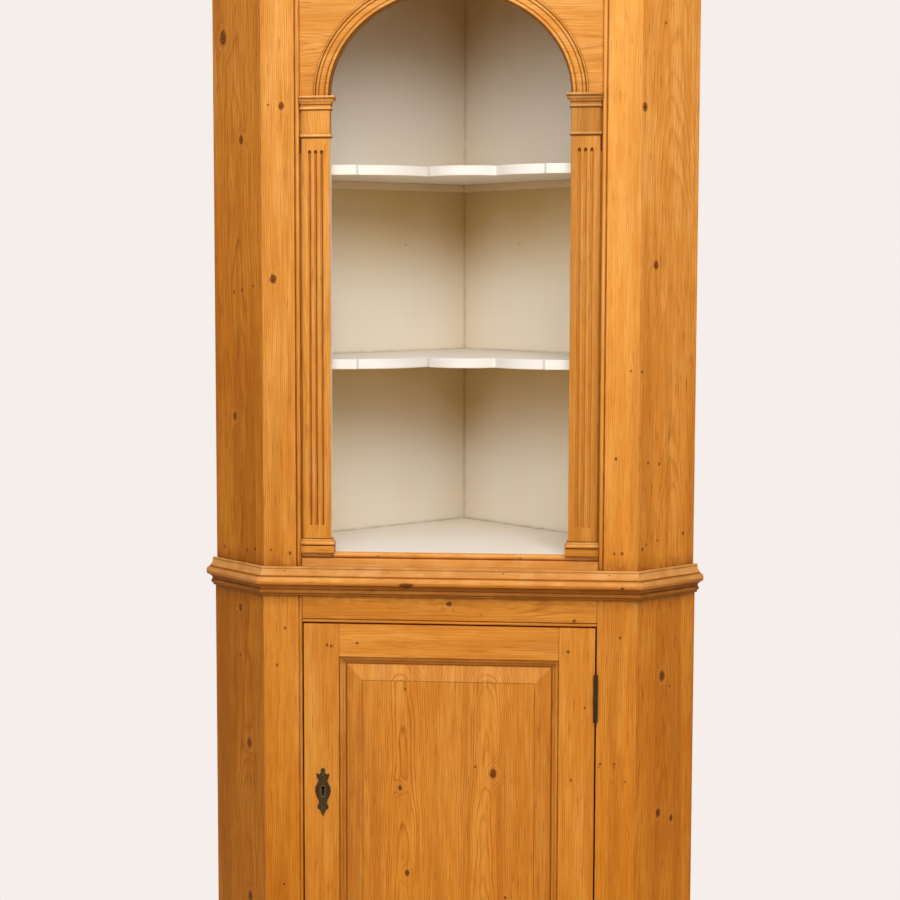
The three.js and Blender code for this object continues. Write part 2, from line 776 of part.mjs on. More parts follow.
function keyholeOutline() {
  const half = keySlotWidth / 2;
  const turn = Math.asin(half / keyholeRadius);
  return [
    ...arcPoints(keyX, keyZ, keyholeRadius, turn - Math.PI / 2, Math.PI * 1.5 - turn, keyholeSides),
    [keyX - half, keyZ - keySlotDrop], [keyX + half, keyZ - keySlotDrop],
  ];
}

function lockStile() {
  const pocket = block(
    [-doorEdge - overrun, doorBack - lockDepth - seam, keyZ - lockHeight / 2 - seam],
    [lockWidth - doorEdge + seam, doorBack + overrun, keyZ + lockHeight / 2 + seam]);
  const keyway = prismY(keyholeOutline(), doorFace - overrun, doorBack);
  return cutAway(doorStile(-1), [pocket, keyway]);
}

function lockCase() {
  const body = block(
    [-doorEdge, doorBack - lockDepth, keyZ - lockHeight / 2],
    [lockWidth - doorEdge, doorBack, keyZ + lockHeight / 2]);
  const channelEnd = boltInset + boltLength + boltThrow + boltClearance - doorEdge;
  const keyway = prismY(keyholeOutline(), doorBack - lockDepth - overrun, boltY);
  return cutAway(body, [boltSpace(-doorEdge - overrun, channelEnd), keyway]);
}

function lockBolt() {
  const left = boltInset - doorEdge;
  const body = block(
    [left, boltY - boltThickness / 2, keyZ - boltHeight / 2],
    [left + boltLength, boltY + boltThickness / 2, keyZ + boltHeight / 2]);
  const talonLeft = left + boltLength - 2 * talonWidth;
  const talon = block(
    [talonLeft, boltY - boltThickness, keyZ - boltHeight],
    [talonLeft + talonWidth, boltY + boltThickness, keyZ - boltHeight / 2 + talonDepth]);
  return cutAway(body, [talon]);
}

function escutcheon() {
  const foot = keyZ - escutcheonDrop - escutcheonHeight / 2;
  const half = plateShares.map(([widthShare, heightShare]) => [
    widthShare * escutcheonWidth / 2, foot + heightShare * escutcheonHeight]);
  const outline = [
    ...half.map(([x, z]) => [keyX + x, z]),
    [keyX, foot],
    ...half.reverse().map(([x, z]) => [keyX - x, z]),
  ];
  return prismY(outline, doorFace - escutcheonThickness, doorFace, keyholeOutline());
}

// Hinges

// One leaf with its own knuckles: the frame leaf carries the odd ones
function hingeLeaf(side, centre) {
  const foot = centre - hingeHeight / 2;
  const step = hingeHeight / knuckleCount;
  const near = hingeX + side * leafOffset;
  const far = near + side * leafThickness;
  const low = Math.min(near, far);
  const high = Math.max(near, far);
  const plateFront = hingeY + knuckleRadius + 2 * seam;
  const parts = [block([low, plateFront, foot], [high, doorFace + leafDepth, foot + hingeHeight])];
  for (let index = side > 0 ? 0 : 1; index < knuckleCount; index += 2) {
    const from = foot + index * step + (index > 0 ? seam / 2 : 0);
    const to = foot + (index + 1) * step - (index < knuckleCount - 1 ? seam / 2 : 0);
    parts.push(block([low, hingeY, from], [high, plateFront + seam, to]));
    parts.push(cylinder(knuckleRadius, pinSides, hingeX, hingeY, from, to));
  }
  const boreRadius = (pinRadius + pinClearance) / Math.cos(Math.PI / pinSides);
  const bore = cylinder(boreRadius, pinSides, hingeX, hingeY, foot - overrun, foot + hingeHeight + overrun);
  return cutAway(joined(parts), [bore]);
}

function hingePin(centre) {
  const foot = centre - hingeHeight / 2;
  const head = centre + hingeHeight / 2;
  return joined([
    cylinder(pinRadius, pinSides, hingeX, hingeY, foot - pinHeadHeight, head + pinHeadHeight),
    cylinder(pinHeadRadius, pinSides, hingeX, hingeY, head + seam, head + pinHeadHeight),
    cylinder(pinHeadRadius, pinSides, hingeX, hingeY, foot - pinHeadHeight, foot - seam),
  ]);
}

function addDoor() {
  addPiece('door_lock_stile', lockStile(), deepPine);
  const seats = hingeCentres.map(([, centre]) => hingeSeat(-1, centre));
  addPiece('door_hinge_stile', cutAway(doorStile(1), seats), deepPine);
  addPiece('door_top_rail', doorRail(doorHead - doorHeadWidth, doorHead, sightHead, 1), deepPine);
  addPiece('door_bottom_rail', doorRail(doorFoot, doorFoot + doorFootWidth, sightFoot, -1), deepPine);
  addPiece('door_panel', doorPanel(), deepPine);
  addPiece('escutcheon', escutcheon(), agedBrass);
  addPiece('lock_case', lockCase(), darkIron);
  addPiece('lock_bolt', lockBolt(), darkIron);
  for (const [word, centre] of hingeCentres) {
    addPiece(`${word}_hinge_frame_leaf`, hingeLeaf(1, centre), darkIron);
    addPiece(`${word}_hinge_door_leaf`, hingeLeaf(-1, centre), darkIron);
    addPiece(`${word}_hinge_pin`, hingePin(centre), darkIron);
  }
}

addLowerCase();
addUpperCase();
addDoor();

export default cupboard;
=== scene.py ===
"""Dresses a packed corner cupboard in waxed pine, board by board, with a painted inside, a
bronze lock plate, and an iron lock and hinges."""

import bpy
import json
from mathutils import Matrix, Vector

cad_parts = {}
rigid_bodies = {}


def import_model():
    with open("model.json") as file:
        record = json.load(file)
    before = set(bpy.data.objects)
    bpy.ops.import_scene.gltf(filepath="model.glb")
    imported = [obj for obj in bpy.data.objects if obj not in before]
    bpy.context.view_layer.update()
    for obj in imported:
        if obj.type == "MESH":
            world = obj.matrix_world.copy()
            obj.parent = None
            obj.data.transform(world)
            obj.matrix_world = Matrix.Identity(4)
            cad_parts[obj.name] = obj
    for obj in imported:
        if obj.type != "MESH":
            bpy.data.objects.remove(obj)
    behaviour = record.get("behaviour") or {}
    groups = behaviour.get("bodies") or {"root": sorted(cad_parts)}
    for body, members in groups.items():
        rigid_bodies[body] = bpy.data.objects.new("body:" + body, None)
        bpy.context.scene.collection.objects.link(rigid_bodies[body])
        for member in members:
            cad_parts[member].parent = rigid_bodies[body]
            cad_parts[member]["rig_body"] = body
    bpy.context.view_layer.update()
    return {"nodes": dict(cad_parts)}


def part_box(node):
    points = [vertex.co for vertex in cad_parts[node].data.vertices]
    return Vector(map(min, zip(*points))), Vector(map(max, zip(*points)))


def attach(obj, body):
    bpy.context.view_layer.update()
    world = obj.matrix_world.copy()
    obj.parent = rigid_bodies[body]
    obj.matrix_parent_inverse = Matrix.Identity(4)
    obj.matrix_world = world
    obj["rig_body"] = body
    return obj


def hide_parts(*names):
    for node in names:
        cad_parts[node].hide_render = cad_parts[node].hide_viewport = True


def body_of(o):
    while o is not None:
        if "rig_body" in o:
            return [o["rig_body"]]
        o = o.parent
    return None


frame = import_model()

import functools
import json
import math

import bmesh
import bpy
from mathutils import Matrix, Vector

bl_info = {
    "name": "Corner cupboard",
    "version": (1, 0, 0),
    "blender": (4, 5, 0),
    "location": "3D View > Sidebar > Cupboard",
    "description": "Dresses the packed corner cupboard in waxed pine, paint, iron and bronze",
    "category": "Object",
}

# Where the parts of the cupboard stand, in metres, read from the frame.
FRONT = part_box("upper_stile_left")[0].y
LOWER_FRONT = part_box("lower_stile_left")[0].y
FOLD = -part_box("upper_stile_left")[0].x
LOWER_FOLD = -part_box("lower_stile_left")[0].x
STILE_EDGE = -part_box("upper_stile_left")[1].x
DOORWAY_EDGE = -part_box("lower_stile_left")[1].x
INFILL_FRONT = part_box("arch_board")[0].y
ARCH_HALF = -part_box("pilaster_shaft_left")[1].x
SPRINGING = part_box("arch_board")[0].z
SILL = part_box("upper_floor_board")[1].z
SHELF_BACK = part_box("middle_shelf")[1].y
WAIST_LOW, WAIST_HIGH = (corner.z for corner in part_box("waist_moulding_front"))
SIGHT_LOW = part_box("door_bottom_rail")[1].z
SIGHT_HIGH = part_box("door_top_rail")[0].z
SIGHT_MIDDLE = (SIGHT_LOW + SIGHT_HIGH) / 2
SIGHT_HALF = (SIGHT_HIGH - SIGHT_LOW) / 2

# Sizes that the boxes don't tell, in metres.
SIGHT_X = 0.188  # half the width of the door panel that shows
JOINT_X = 0.2009  # half the length of the door's rails
FIELD_INSET = 0.031  # width of the bevel round the panel's field
STICKING_QUIRK = 0.0122  # from the panel to the outer quirk of the door's moulded edge
ARCH_RISE = 0.182
ARCH_OUTER = 0.0305  # from the arch to the outer edge of its moulding
ARCH_MOULDING = 0.029  # width of the arch moulding
ARCH_QUIRKS = ((0.0, 0.75), (0.15, 0.85), (0.37, 0.70), (0.755, 0.85), (1.0, 0.80))  # share, strength of the dirt and painted shade
PILASTER_GAP = 0.0003  # between a pilaster and its stile
FLUTE_PITCH = 0.011
FLUTE_MIDDLE = (ARCH_HALF + STILE_EDGE - PILASTER_GAP) / 2
FLUTE_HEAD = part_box("pilaster_shaft_left")[1].z - 0.022
BEAD = 0.0080  # from a stile's edge to the quirk of its bead
SILL_BEAD = 0.0098  # from the sill's top to the quirk of its bead
PAINT_DEPTH = 0.0214  # where the inside paint starts, from the face of a board
SOFT = 0.0004  # half the width of a soft boundary

# Heights of lines on the pilasters: above the sill for a base, below its top for a capital. The
# quirks get dirt and painted shade, the crowns painted highlights.
BASE_QUIRK = 0.0142
BASE_CROWN = 0.0195
CAPITAL_CROWNS = (0.0015, 0.0085, 0.0215)
CAPITAL_QUIRKS = (0.0245, 0.0155, 0.0058)

# Heights of lines on the waist moulding, above its foot: dirt and painted shade in the lines and
# hollows, painted highlights on the crowns and the band.
WAIST_LINES = (0.0363, 0.0495)
WAIST_HOLLOWS = (0.0197, 0.0120, 0.0035, 0.0)
WAIST_CROWNS = (0.0525, 0.0310)
WAIST_BAND = (0.0475, 0.0425)

# The planks of a back: how far across it their joints lie, and the width of a joint.
PLANK_SHARES = (0.22, 0.49, 0.74)
PLANK_JOINT = 0.0022

# Depth of the relief in each kind of surface.
WOOD_RELIEF = 0.00035
PAINT_RELIEF = 0.0003
METAL_RELIEF = 0.0002

SLANT = math.sqrt(0.5)
RIGHT = Vector((1, 0, 0))
BACK = Vector((0, 1, 0))
UP = Vector((0, 0, 1))

# The camera of the photograph.
CAMERA_PLACE = (0.21166, -3.74181, 1.52936)
CAMERA_RIGHT = Vector((0.99379025, 0.11124304, -0.00243289))
CAMERA_UP = Vector((-0.0079263, 0.09258512, 0.99567322))
CAMERA_FORWARD = Vector((-0.11098696, 0.98947106, -0.09289193))
SENSOR = 36.0
LENS = 77.51
SHIFT = 0.111

# For each way a board lies: across its face, along its grain, and into the wood.
LIES = {
    "upright": ((1, 0, 0), (0, 0, 1), (0, 1, 0)),
    "rail": ((0, 0, 1), (1, 0, 0), (0, 1, 0)),
    "level": ((0, 1, 0), (1, 0, 0), (0, 0, -1)),
    "left side": ((-SLANT, SLANT, 0), (0, 0, 1), (SLANT, SLANT, 0)),
    "right side": ((SLANT, SLANT, 0), (0, 0, 1), (-SLANT, SLANT, 0)),
    "left return": ((0, 0, 1), (-SLANT, SLANT, 0), (SLANT, SLANT, 0)),
    "right return": ((0, 0, 1), (SLANT, SLANT, 0), (-SLANT, SLANT, 0)),
    "left back": ((SLANT, SLANT, 0), (0, 0, 1), (-SLANT, SLANT, 0)),
    "right back": ((-SLANT, SLANT, 0), (0, 0, 1), (SLANT, SLANT, 0)),
}


def opaque(colour):
    """The colour with its alpha, as a socket takes it."""
    return (*colour[:3], 1.0)


def toned(colour, tone):
    """The colour made lighter or darker."""
    return opaque([channel * tone for channel in colour[:3]])


def add_node(tree, kind, settings=None, sockets=None):
    """A node of a kind, with its settings made first and its sockets set or linked after."""
    node = tree.nodes.new(kind)
    for name, value in (settings or {}).items():
        if name == "stops":
            set_stops(node.color_ramp.elements, value)
        else:
            setattr(node, name, value)
    for key, value in (sockets or {}).items():
        value = getattr(value, "socket", value)
        if isinstance(value, bpy.types.NodeSocket):
            tree.links.new(value, node.inputs[key])
        else:
            node.inputs[key].default_value = value
    return node


def set_stops(elements, stops):
    """Gives a ramp its stops, as rows of position and height."""
    while len(elements) < len(stops):
        elements.new(1.0)
    for element, (position, height) in zip(elements, stops):
        element.position = position
        element.color = opaque((height, height, height))


def seen_directly(tree):
    """1 for what the camera sees, straight, in a gloss or through a clear thing."""
    rays = add_node(tree, "ShaderNodeLightPath")
    seen = rays.outputs["Is Camera Ray"]
    for name in ("Is Glossy Ray", "Is Transmission Ray"):
        either = {0: seen, 1: rays.outputs[name]}
        seen = add_node(tree, "ShaderNodeMath", {"operation": "MAXIMUM"}, either).outputs[0]
    return seen


class Shade:
    """A value in a finish that takes part in sums; each sum adds its Math node."""

    def __init__(self, finish, socket):
        self.finish = finish
        self.socket = socket

    def math(self, operation, *values):
        return self.finish.sum(operation, self, *values)

    def __add__(self, other):
        return self.math("ADD", other)

    __radd__ = __add__

    def __sub__(self, other):
        return self.math("SUBTRACT", other)

    def __rsub__(self, other):
        return self.finish.sum("SUBTRACT", other, self)

    def __mul__(self, other):
        return self.math("MULTIPLY", other)

    __rmul__ = __mul__

    def __truediv__(self, other):
        return self.math("DIVIDE", other)

    def __rtruediv__(self, other):
        return self.finish.sum("DIVIDE", other, self)

    def __pow__(self, other):
        return self.math("POWER", other)

    def __abs__(self):
        return self.math("ABSOLUTE")

    def least(self, other):
        return self.math("MINIMUM", other)

    def most(self, other):
        return self.math("MAXIMUM", other)

    def rise(self, start, end):
        """0 at start and 1 at end, with an eased slope between them."""
        sockets = {"Value": self, "From Min": start, "From Max": end}
        settings = {"interpolation_type": "SMOOTHSTEP"}
        return self.finish.value("ShaderNodeMapRange", settings, sockets)

    def line(self, at, half):
        """1 on a line and 0 beyond half a width from it."""
        return abs(self - at).rise(half, half * 0.3)


def greatest(shades):
    """The greatest of several values at each point."""
    return functools.reduce(Shade.most, shades)


def smallest(shades):
    """The smallest of several values at each point."""
    return functools.reduce(Shade.least, shades)


# Patterns: cycles a metre across, along and into the board, own seed, detail, roughness.
PATTERNS = {
    "wander": ((1.6, 1.1, 0.0), 0, 1.0, 0.5),
    "wave": ((11.0, 4.0, 3.0), 3, 2.0, 0.5),
    "ripple": ((90.0, 22.0, 9.0), 5, 2.0, 0.6),
    "fade": ((16.0, 2.6, 0.0), 11, 1.0, 0.5),
    "broken": ((140.0, 16.0, 0.0), 12, 1.0, 0.5),
    "fibre": ((430.0, 11.0, 40.0), 13, 2.0, 0.65),
    "streak": ((150.0, 4.4, 30.0), 17, 2.0, 0.6),
    "cloud": ((13.0, 1.6, 6.0), 19, 2.0, 0.5),
    "patch": ((34.0, 3.2, 9.0), 23, 2.0, 0.5),
    "fleck": ((250.0, 22.0, 60.0), 29, 0.0, 0.5),
    "knot rim": ((190.0, 150.0, 0.0), 31, 2.0, 0.5),
    "knot heart": ((420.0, 300.0, 0.0), 33, 1.0, 0.5),
    "speck rim": ((300.0, 220.0, 0.0), 37, 0.0, 0.5),
    "rub": ((26.0, 26.0, 26.0), 41, 2.0, 0.5),
    "brush": ((190.0, 7.0, 20.0), 43, 2.0, 0.5),
    "paint cloud": ((5.0, 3.0, 4.0), 47, 2.0, 0.5),
    "chip": ((60.0, 45.0, 30.0), 53, 3.0, 0.5),
    "caked": ((34.0, 34.0, 34.0), 59, 2.0, 0.5),
    "band": ((26.0, 0.9, 5.0), 61, 1.0, 0.5),
    "mottle": ((75.0, 15.0, 8.0), 67, 2.0, 0.5),
    "blot": ((110.0, 45.0, 20.0), 0, 2.0, 0.5),
    "joint dirt": ((40.0, 40.0, 40.0), 0, 2.0, 0.5),
    "board dirt": ((30.0, 30.0, 30.0), 0, 2.0, 0.5),
    "cleat cloud": ((20.0, 6.0, 4.0), 0, 1.0, 0.5),
    "pitting": ((420.0, 420.0, 420.0), 0, 3.0, 0.6),
    "metal cloud": ((60.0, 60.0, 60.0), 3, 2.0, 0.5),
}


class Finish:
    """One procedural material, put together from plain steps."""

    def __init__(self, name, lie="upright", start=(0, 0, 0)):
        self.material = bpy.data.materials.new(name)
        self.material.use_nodes = True
        self.tree = self.material.node_tree
        self.tree.nodes.clear()
        self.surface = self.add("ShaderNodeBsdfPrincipled")
        self.output = self.add("ShaderNodeOutputMaterial", None,
                               {"Surface": self.surface.outputs[0]})
        self.place = self.add("ShaderNodeTexCoord").outputs["Object"]
        self.start = Vector(start)
        self.ways = [Vector(way) for way in LIES[lie]]
        self.across, self.along, self.into = (self.measured(way) for way in self.ways)

    def add(self, kind, settings=None, sockets=None):
        return add_node(self.tree, kind, settings, sockets)

    def value(self, kind, settings=None, sockets=None, output=0):
        return Shade(self, self.add(kind, settings, sockets).outputs[output])

    def sum(self, operation, *values):
        return self.value("ShaderNodeMath", {"operation": operation}, dict(enumerate(values)))

    def measured(self, way):
        """How far a point lies from the start, along a direction."""
        settings = {"operation": "DOT_PRODUCT"}
        along = self.value("ShaderNodeVectorMath", settings, {0: self.place, 1: way}, "Value")
        return along - self.start.dot(way)

    def right(self):
        """How far right of the start a point lies."""
        return self.measured(RIGHT)

    def height(self):
        """How far above the start a point lies."""
        return self.measured(UP)

    def spot(self, place):
        """A place of the cupboard as (across, along) on this board."""
        way = Vector(place) - self.start
        return way.dot(self.ways[0]), way.dot(self.ways[1])

    def vector(self, *parts):
        return self.value("ShaderNodeCombineXYZ", None, dict(enumerate(parts)))

    def pattern(self, name, seed):
        """One of the named patterns, from 0 to 1."""
        stretch, own_seed, detail, roughness = PATTERNS[name]
        seed = seed + own_seed
        parts = [way * cycles for way, cycles in zip((self.across, self.along, self.into), stretch)]
        place = self.vector(parts[0] + seed * 7.3, parts[1] + seed * 3.1, parts[2])
        sockets = {"Vector": place, "Scale": 1.0, "Detail": detail, "Roughness": roughness}
        return self.value("ShaderNodeTexNoise", None, sockets)

    def sway(self, name, seed, width):
        """A named pattern as a drift to either side, of so much in all."""
        return (self.pattern(name, seed) - 0.5) * width

    def mix(self, share, first, second):
        """The first colour, with a share of the second laid over it."""
        sockets = {0: share, 6: first, 7: second}
        return self.value("ShaderNodeMix", {"data_type": "RGBA"}, sockets, 2)

    def tint(self, share, colour, by):
        """The colour multiplied by another, by a share."""
        sockets = {0: share, 6: colour, 7: by}
        settings = {"data_type": "RGBA", "blend_type": "MULTIPLY"}
        return self.value("ShaderNodeMix", settings, sockets, 2)

    def edge(self):
        """1 on eased outside edges, -1 in eased hollows, 0 on faces."""
        return self.value("ShaderNodeAttribute", {"attribute_name": "edge"}, None, "Fac")

    def nearest(self, spots, stretch):
        """Distance to the nearest spot, in its own radii, with the grain's way drawn out."""
        point = self.vector(self.across, self.along * stretch, 0.0)
        distances = []
        for place, radius in spots:
            across, along = self.spot(place)
            sockets = {0: point, 1: (across, along * stretch, 0.0)}
            settings = {"operation": "DISTANCE"}
            away = self.value("ShaderNodeVectorMath", settings, sockets, "Value")
            distances.append(away / radius)
        return smallest(distances)

    def end(self, colour, roughness, height, depth):
        """Joins the colour, roughness and relief to the surface."""
        sockets = {"Strength": 1.0, "Distance": depth, "Height": height}
        bump = self.add("ShaderNodeBump", None, sockets)
        for name, value in (("Base Color", colour), ("Roughness", roughness)):
            self.tree.links.new(value.socket, self.surface.inputs[name])
        self.tree.links.new(bump.outputs[0], self.surface.inputs["Normal"])
        return self.material


def colours():
    return bpy.context.scene.cupboard_colours


def sizes():
    return bpy.context.scene.cupboard_sizes


def growth(finish, hearts, taper, seed, swell, spacing):
    """The count of growth rings between a point of the board and the heart of its tree."""
    wander = finish.sway("wander", seed, 0.045)
    wave = finish.sway("wave", seed, 0.010)
    ripple = finish.sway("ripple", seed, 0.0016)
    reaches = []
    for centre, behind in hearts:
        side = finish.across - centre + wander
        depth = finish.into + finish.along * taper + wave * 1.5 + behind
        reaches.append((side * side + depth * depth) ** 0.5)
    radius = smallest(reaches) + wave * 0.35 + ripple
    if swell is not None:
        radius = radius + swell
    return radius / spacing


# How dark the wood is through one year's ring.
RING = [(0.0, 0.50), (0.10, 0.10), (0.42, 0.0), (0.72, 0.22), (0.91, 1.0), (1.0, 0.74)]


# Colours laid over the pine: pattern, where it starts and is full, strength, whether the board's
# grain drives it, colour and its tone.
LAYERS = (
    ("streak", 0.45, 0.62, 0.50, True, "amber", 1.0),
    ("cloud", 0.42, 0.62, 0.55, False, "amber", 1.0),
    ("patch", 0.48, 0.66, 0.50, False, "straw", 1.0),
    ("band", 0.50, 0.64, 0.42, True, "amber", 0.80),
    ("mottle", 0.50, 0.70, 0.34, False, "amber", 0.94),
    ("mottle", 0.46, 0.30, 0.30, False, "straw", 1.0),
)

# Painted shade: pine is tinted darker and deeper from this height down, by this much a metre.
SHADE_TOP = 1.9
SHADE_SLOPE = -0.667


def ring_lines(finish, rings, seed, contrast):
    """The dark late wood and the pale early wood of the rings, where they show."""
    part = rings.math("FRACT")
    ring = finish.value("ShaderNodeValToRGB", {"stops": RING}, {0: part})
    years = finish.value("ShaderNodeTexNoise", {"noise_dimensions": "1D"},
                         {"W": rings * 0.47 + seed, "Scale": 1.0, "Detail": 1.0})
    fade = finish.pattern("fade", seed).rise(0.25, 0.62)
    broken = finish.pattern("broken", seed).rise(0.30, 0.56)
    shown = years.rise(0.24, 0.58) * (fade * 0.6 + 0.4) * (broken * 0.6 + 0.4) * contrast
    return ring * shown, part.line(0.30, 0.30) * shown * 0.55


def knotted(finish, wood, seed, tone, knots, eyes, streak):
    """The wood with its knots: a streak along the grain, a pale ring, a dark rim and a heart."""
    own = colours()
    dark = toned(own.late_wood, tone)
    ragged = eyes + finish.sway("knot rim", seed, 0.7)
    seam = finish.nearest(knots, 0.06) + (streak - 0.5) * 1.6
    wood = finish.mix(seam.rise(1.0, 0.1) * 0.58, wood, dark)
    wood = finish.mix(ragged.line(1.9, 0.45) * 0.12, wood, toned(own.straw, tone))
    wood = finish.mix(ragged.rise(2.0, 0.8) * 0.55, wood, dark)
    grey = finish.pattern("knot heart", seed).rise(0.42, 0.60)
    heart = finish.mix(grey, toned(own.knot, 0.7), toned(own.knot, 1.7))
    wood = finish.mix(ragged.rise(1.1, 0.55), wood, heart)
    return finish.mix(ragged.line(0.92, 0.28) * 0.70, wood, toned(own.knot, 0.5))


def specked(finish, wood, seed, tone, specks):
    """The wood with its nail holes and pin knots, each with a halo and a thread along the grain."""
    own = colours()
    near = finish.nearest(specks, 0.8) + finish.sway("speck rim", seed, 0.6)
    thread = finish.nearest(specks, 0.07).rise(1.0, 0.2) * 0.25
    halo = (near.rise(2.4, 0.9) * 0.30).most(thread)
    wood = finish.mix(halo, wood, toned(own.late_wood, tone))
    return finish.mix(near.rise(1.3, 0.6) * 0.92, wood, opaque(own.knot))


def pine_wood(finish, seed, hearts, taper, spacing, contrast, grain, tone, deep, knots, specks):
    """Colour, roughness and relief of waxed pine on one board."""
    own = colours()
    eyes = finish.nearest(knots, 0.72) if knots else None
    swell = finish.sum("EXPONENT", eyes * eyes * -0.13) * 0.0095 if knots else None
    rings = growth(finish, hearts, taper, seed, swell, spacing)
    late, early = ring_lines(finish, rings, seed, contrast)
    names = ("fibre", "streak", "cloud", "patch", "band", "mottle", "fleck")
    patterns = {name: finish.pattern(name, seed) for name in names}
    flecks = patterns["fleck"].rise(0.72, 0.80)
    dark = toned(own.late_wood, tone)
    wood = finish.mix(early, toned(own.pine, tone), toned(own.straw, tone))
    for name, start, full, strength, grained, colour, shade in LAYERS:
        share = patterns[name].rise(start, full) * (strength * (grain if grained else 1.0))
        wood = finish.mix(share, wood, toned(getattr(own, colour), tone * shade))
    wood = finish.mix(late, wood, dark)
    wood = finish.mix(patterns["fibre"].rise(0.47, 0.64) * (0.30 * grain), wood, dark)
    wood = finish.mix(flecks * (0.36 * grain), wood, toned(own.knot, 2.2))
    # Painted shade: the tint darkens the wood towards the floor, more on boards given a deep share.
    low_shade = ((finish.height() - SHADE_TOP) * SHADE_SLOPE).most(0.0).least(1.0)
    wood = finish.tint(low_shade + deep, wood, opaque(own.shade_tint))
    if knots:
        wood = knotted(finish, wood, seed, tone, knots, eyes, patterns["streak"])
    if specks:
        wood = specked(finish, wood, seed, tone, specks)
    roughness = 0.46 + patterns["patch"] * 0.10 + patterns["fibre"] * 0.08 - late * 0.06
    relief = late * 0.5 - patterns["fibre"] * 0.35 - flecks * 0.6
    return wood, roughness, relief


def handled(finish, wood, seed, tone, polish_and_highlight, soiled_and_shaded):
    """Rubs the outside edges pale and paints highlights where marked, and darkens the hollows,
    quirks and joints with old wax, dirt and painted shade.
    """
    own = colours()
    edge = finish.edge()
    rub = finish.pattern("rub", seed).rise(0.40, 0.66)
    # pale holds rubbed wear on the edges and painted highlights from the marks.
    pale = edge.most(0.0) * (rub * 0.28 + 0.03)
    for mark in polish_and_highlight:
        pale = pale.most(mark(finish) * (rub * 0.5 + 0.5))
    wood = finish.mix(pale, wood, toned(own.rubbed, tone))
    # dirt holds old wax and dirt, and painted shade in the hollows and from the marks.
    dirt = (edge * -1.0).most(0.0) * 0.60
    for mark in soiled_and_shaded:
        dirt = dirt.most(mark(finish))
    caked = finish.pattern("caked", seed).rise(0.30, 0.62) * 0.14 + 0.86
    return finish.mix(dirt * caked, wood, opaque(own.grime_and_shade))


def paint_coat(finish, seed, dirt_and_shade_marks=(), aged=0.0, shade_mask=None, tone=1.0):
    """Colour, roughness and relief of old brushed paint, with painted shade where a mask gives it,
    and dirt and painted shade in hollows and marked corners.
    """
    own = colours()
    aged_paint = opaque(own.aged_paint)
    brush = finish.pattern("brush", seed)
    cloud = finish.pattern("paint cloud", seed)
    chip = finish.pattern("chip", seed).rise(0.74, 0.79)
    coat = finish.mix(cloud.rise(0.35, 0.75) * 0.30 + aged, toned(own.paint, tone), aged_paint)
    coat = finish.mix(brush.rise(0.45, 0.80) * 0.15, coat, aged_paint)
    # Painted shade: the mask darkens the paint towards the shaded paint colour.
    if shade_mask:
        share = shade_mask(finish) * (cloud * 0.5 + 0.75)
        coat = finish.mix(share.least(1.0), coat, opaque(own.shaded_paint))
    coat = finish.mix(chip * 0.35, coat, toned(own.knot, 3.0))
    # Dirt and painted shade in the paint's hollows, then in the marked corners.
    coat = finish.mix((finish.edge() * -1.0).most(0.0) * 0.12, coat, opaque(own.dirt_and_shade_brown))
    for mark in dirt_and_shade_marks:
        coat = finish.mix(mark(finish), coat, opaque(own.dirt_and_shade_brown))
    return coat, 0.46 + brush * 0.14, brush * 0.5 - chip * 0.8


def pine(name, lie, seed, start=(0, 0, 0), hearts=((0.0, 0.03),), taper=0.03, spacing=0.0036,
         contrast=0.85, grain=1.0, tone=1.0, deep=0.0, bare=0.0, knots=(), specks=(),
         polish_and_highlight=(), soiled_and_shaded=(), painted=None, coat=None):
    """The finish of one pine board, painted where the mask says.

    hearts holds (place across, depth behind the face) of the heart of the tree, taper is how far
    the rings run out along the grain, deep adds to the painted shade tint, bare is how far the wood
    lacks wax, and the polish, soiling and paint marks are functions from the finish to a share; the
    polish marks hold painted highlights and the soiling marks painted shade as well as dirt.
    """
    finish = Finish(name, lie, start)
    wood, roughness, relief = pine_wood(finish, seed, hearts, taper, spacing, contrast, grain, tone,
                                        deep, knots, specks)
    if bare:
        wood = finish.mix(bare, wood, toned(colours().bare_pine, tone))
        roughness = roughness + 0.25 * bare
    wood = handled(finish, wood, seed, tone, polish_and_highlight, soiled_and_shaded)
    if painted:
        mask = painted(finish)
        colour, coat_roughness, coat_relief = paint_coat(finish, seed, **(coat or {"aged": 0.45}))
        wood = finish.mix(mask, wood, colour)
        roughness = roughness + mask * (coat_roughness - roughness)
        relief = relief + mask * (coat_relief - relief)
    finish.surface.inputs["Specular IOR Level"].default_value = 0.08
    return finish.end(wood, roughness, relief, WOOD_RELIEF)


def painted_board(name, lie, seed, start=(0, 0, 0), dirt_and_shade_marks=(), aged=0.0, shade_mask=None, tone=1.0):
    """The finish of one board painted all over."""
    finish = Finish(name, lie, start)
    finish.surface.inputs["Specular IOR Level"].default_value = 0.25
    coat, roughness, relief = paint_coat(finish, seed, dirt_and_shade_marks, aged, shade_mask, tone)
    return finish.end(coat, roughness, relief, PAINT_RELIEF)


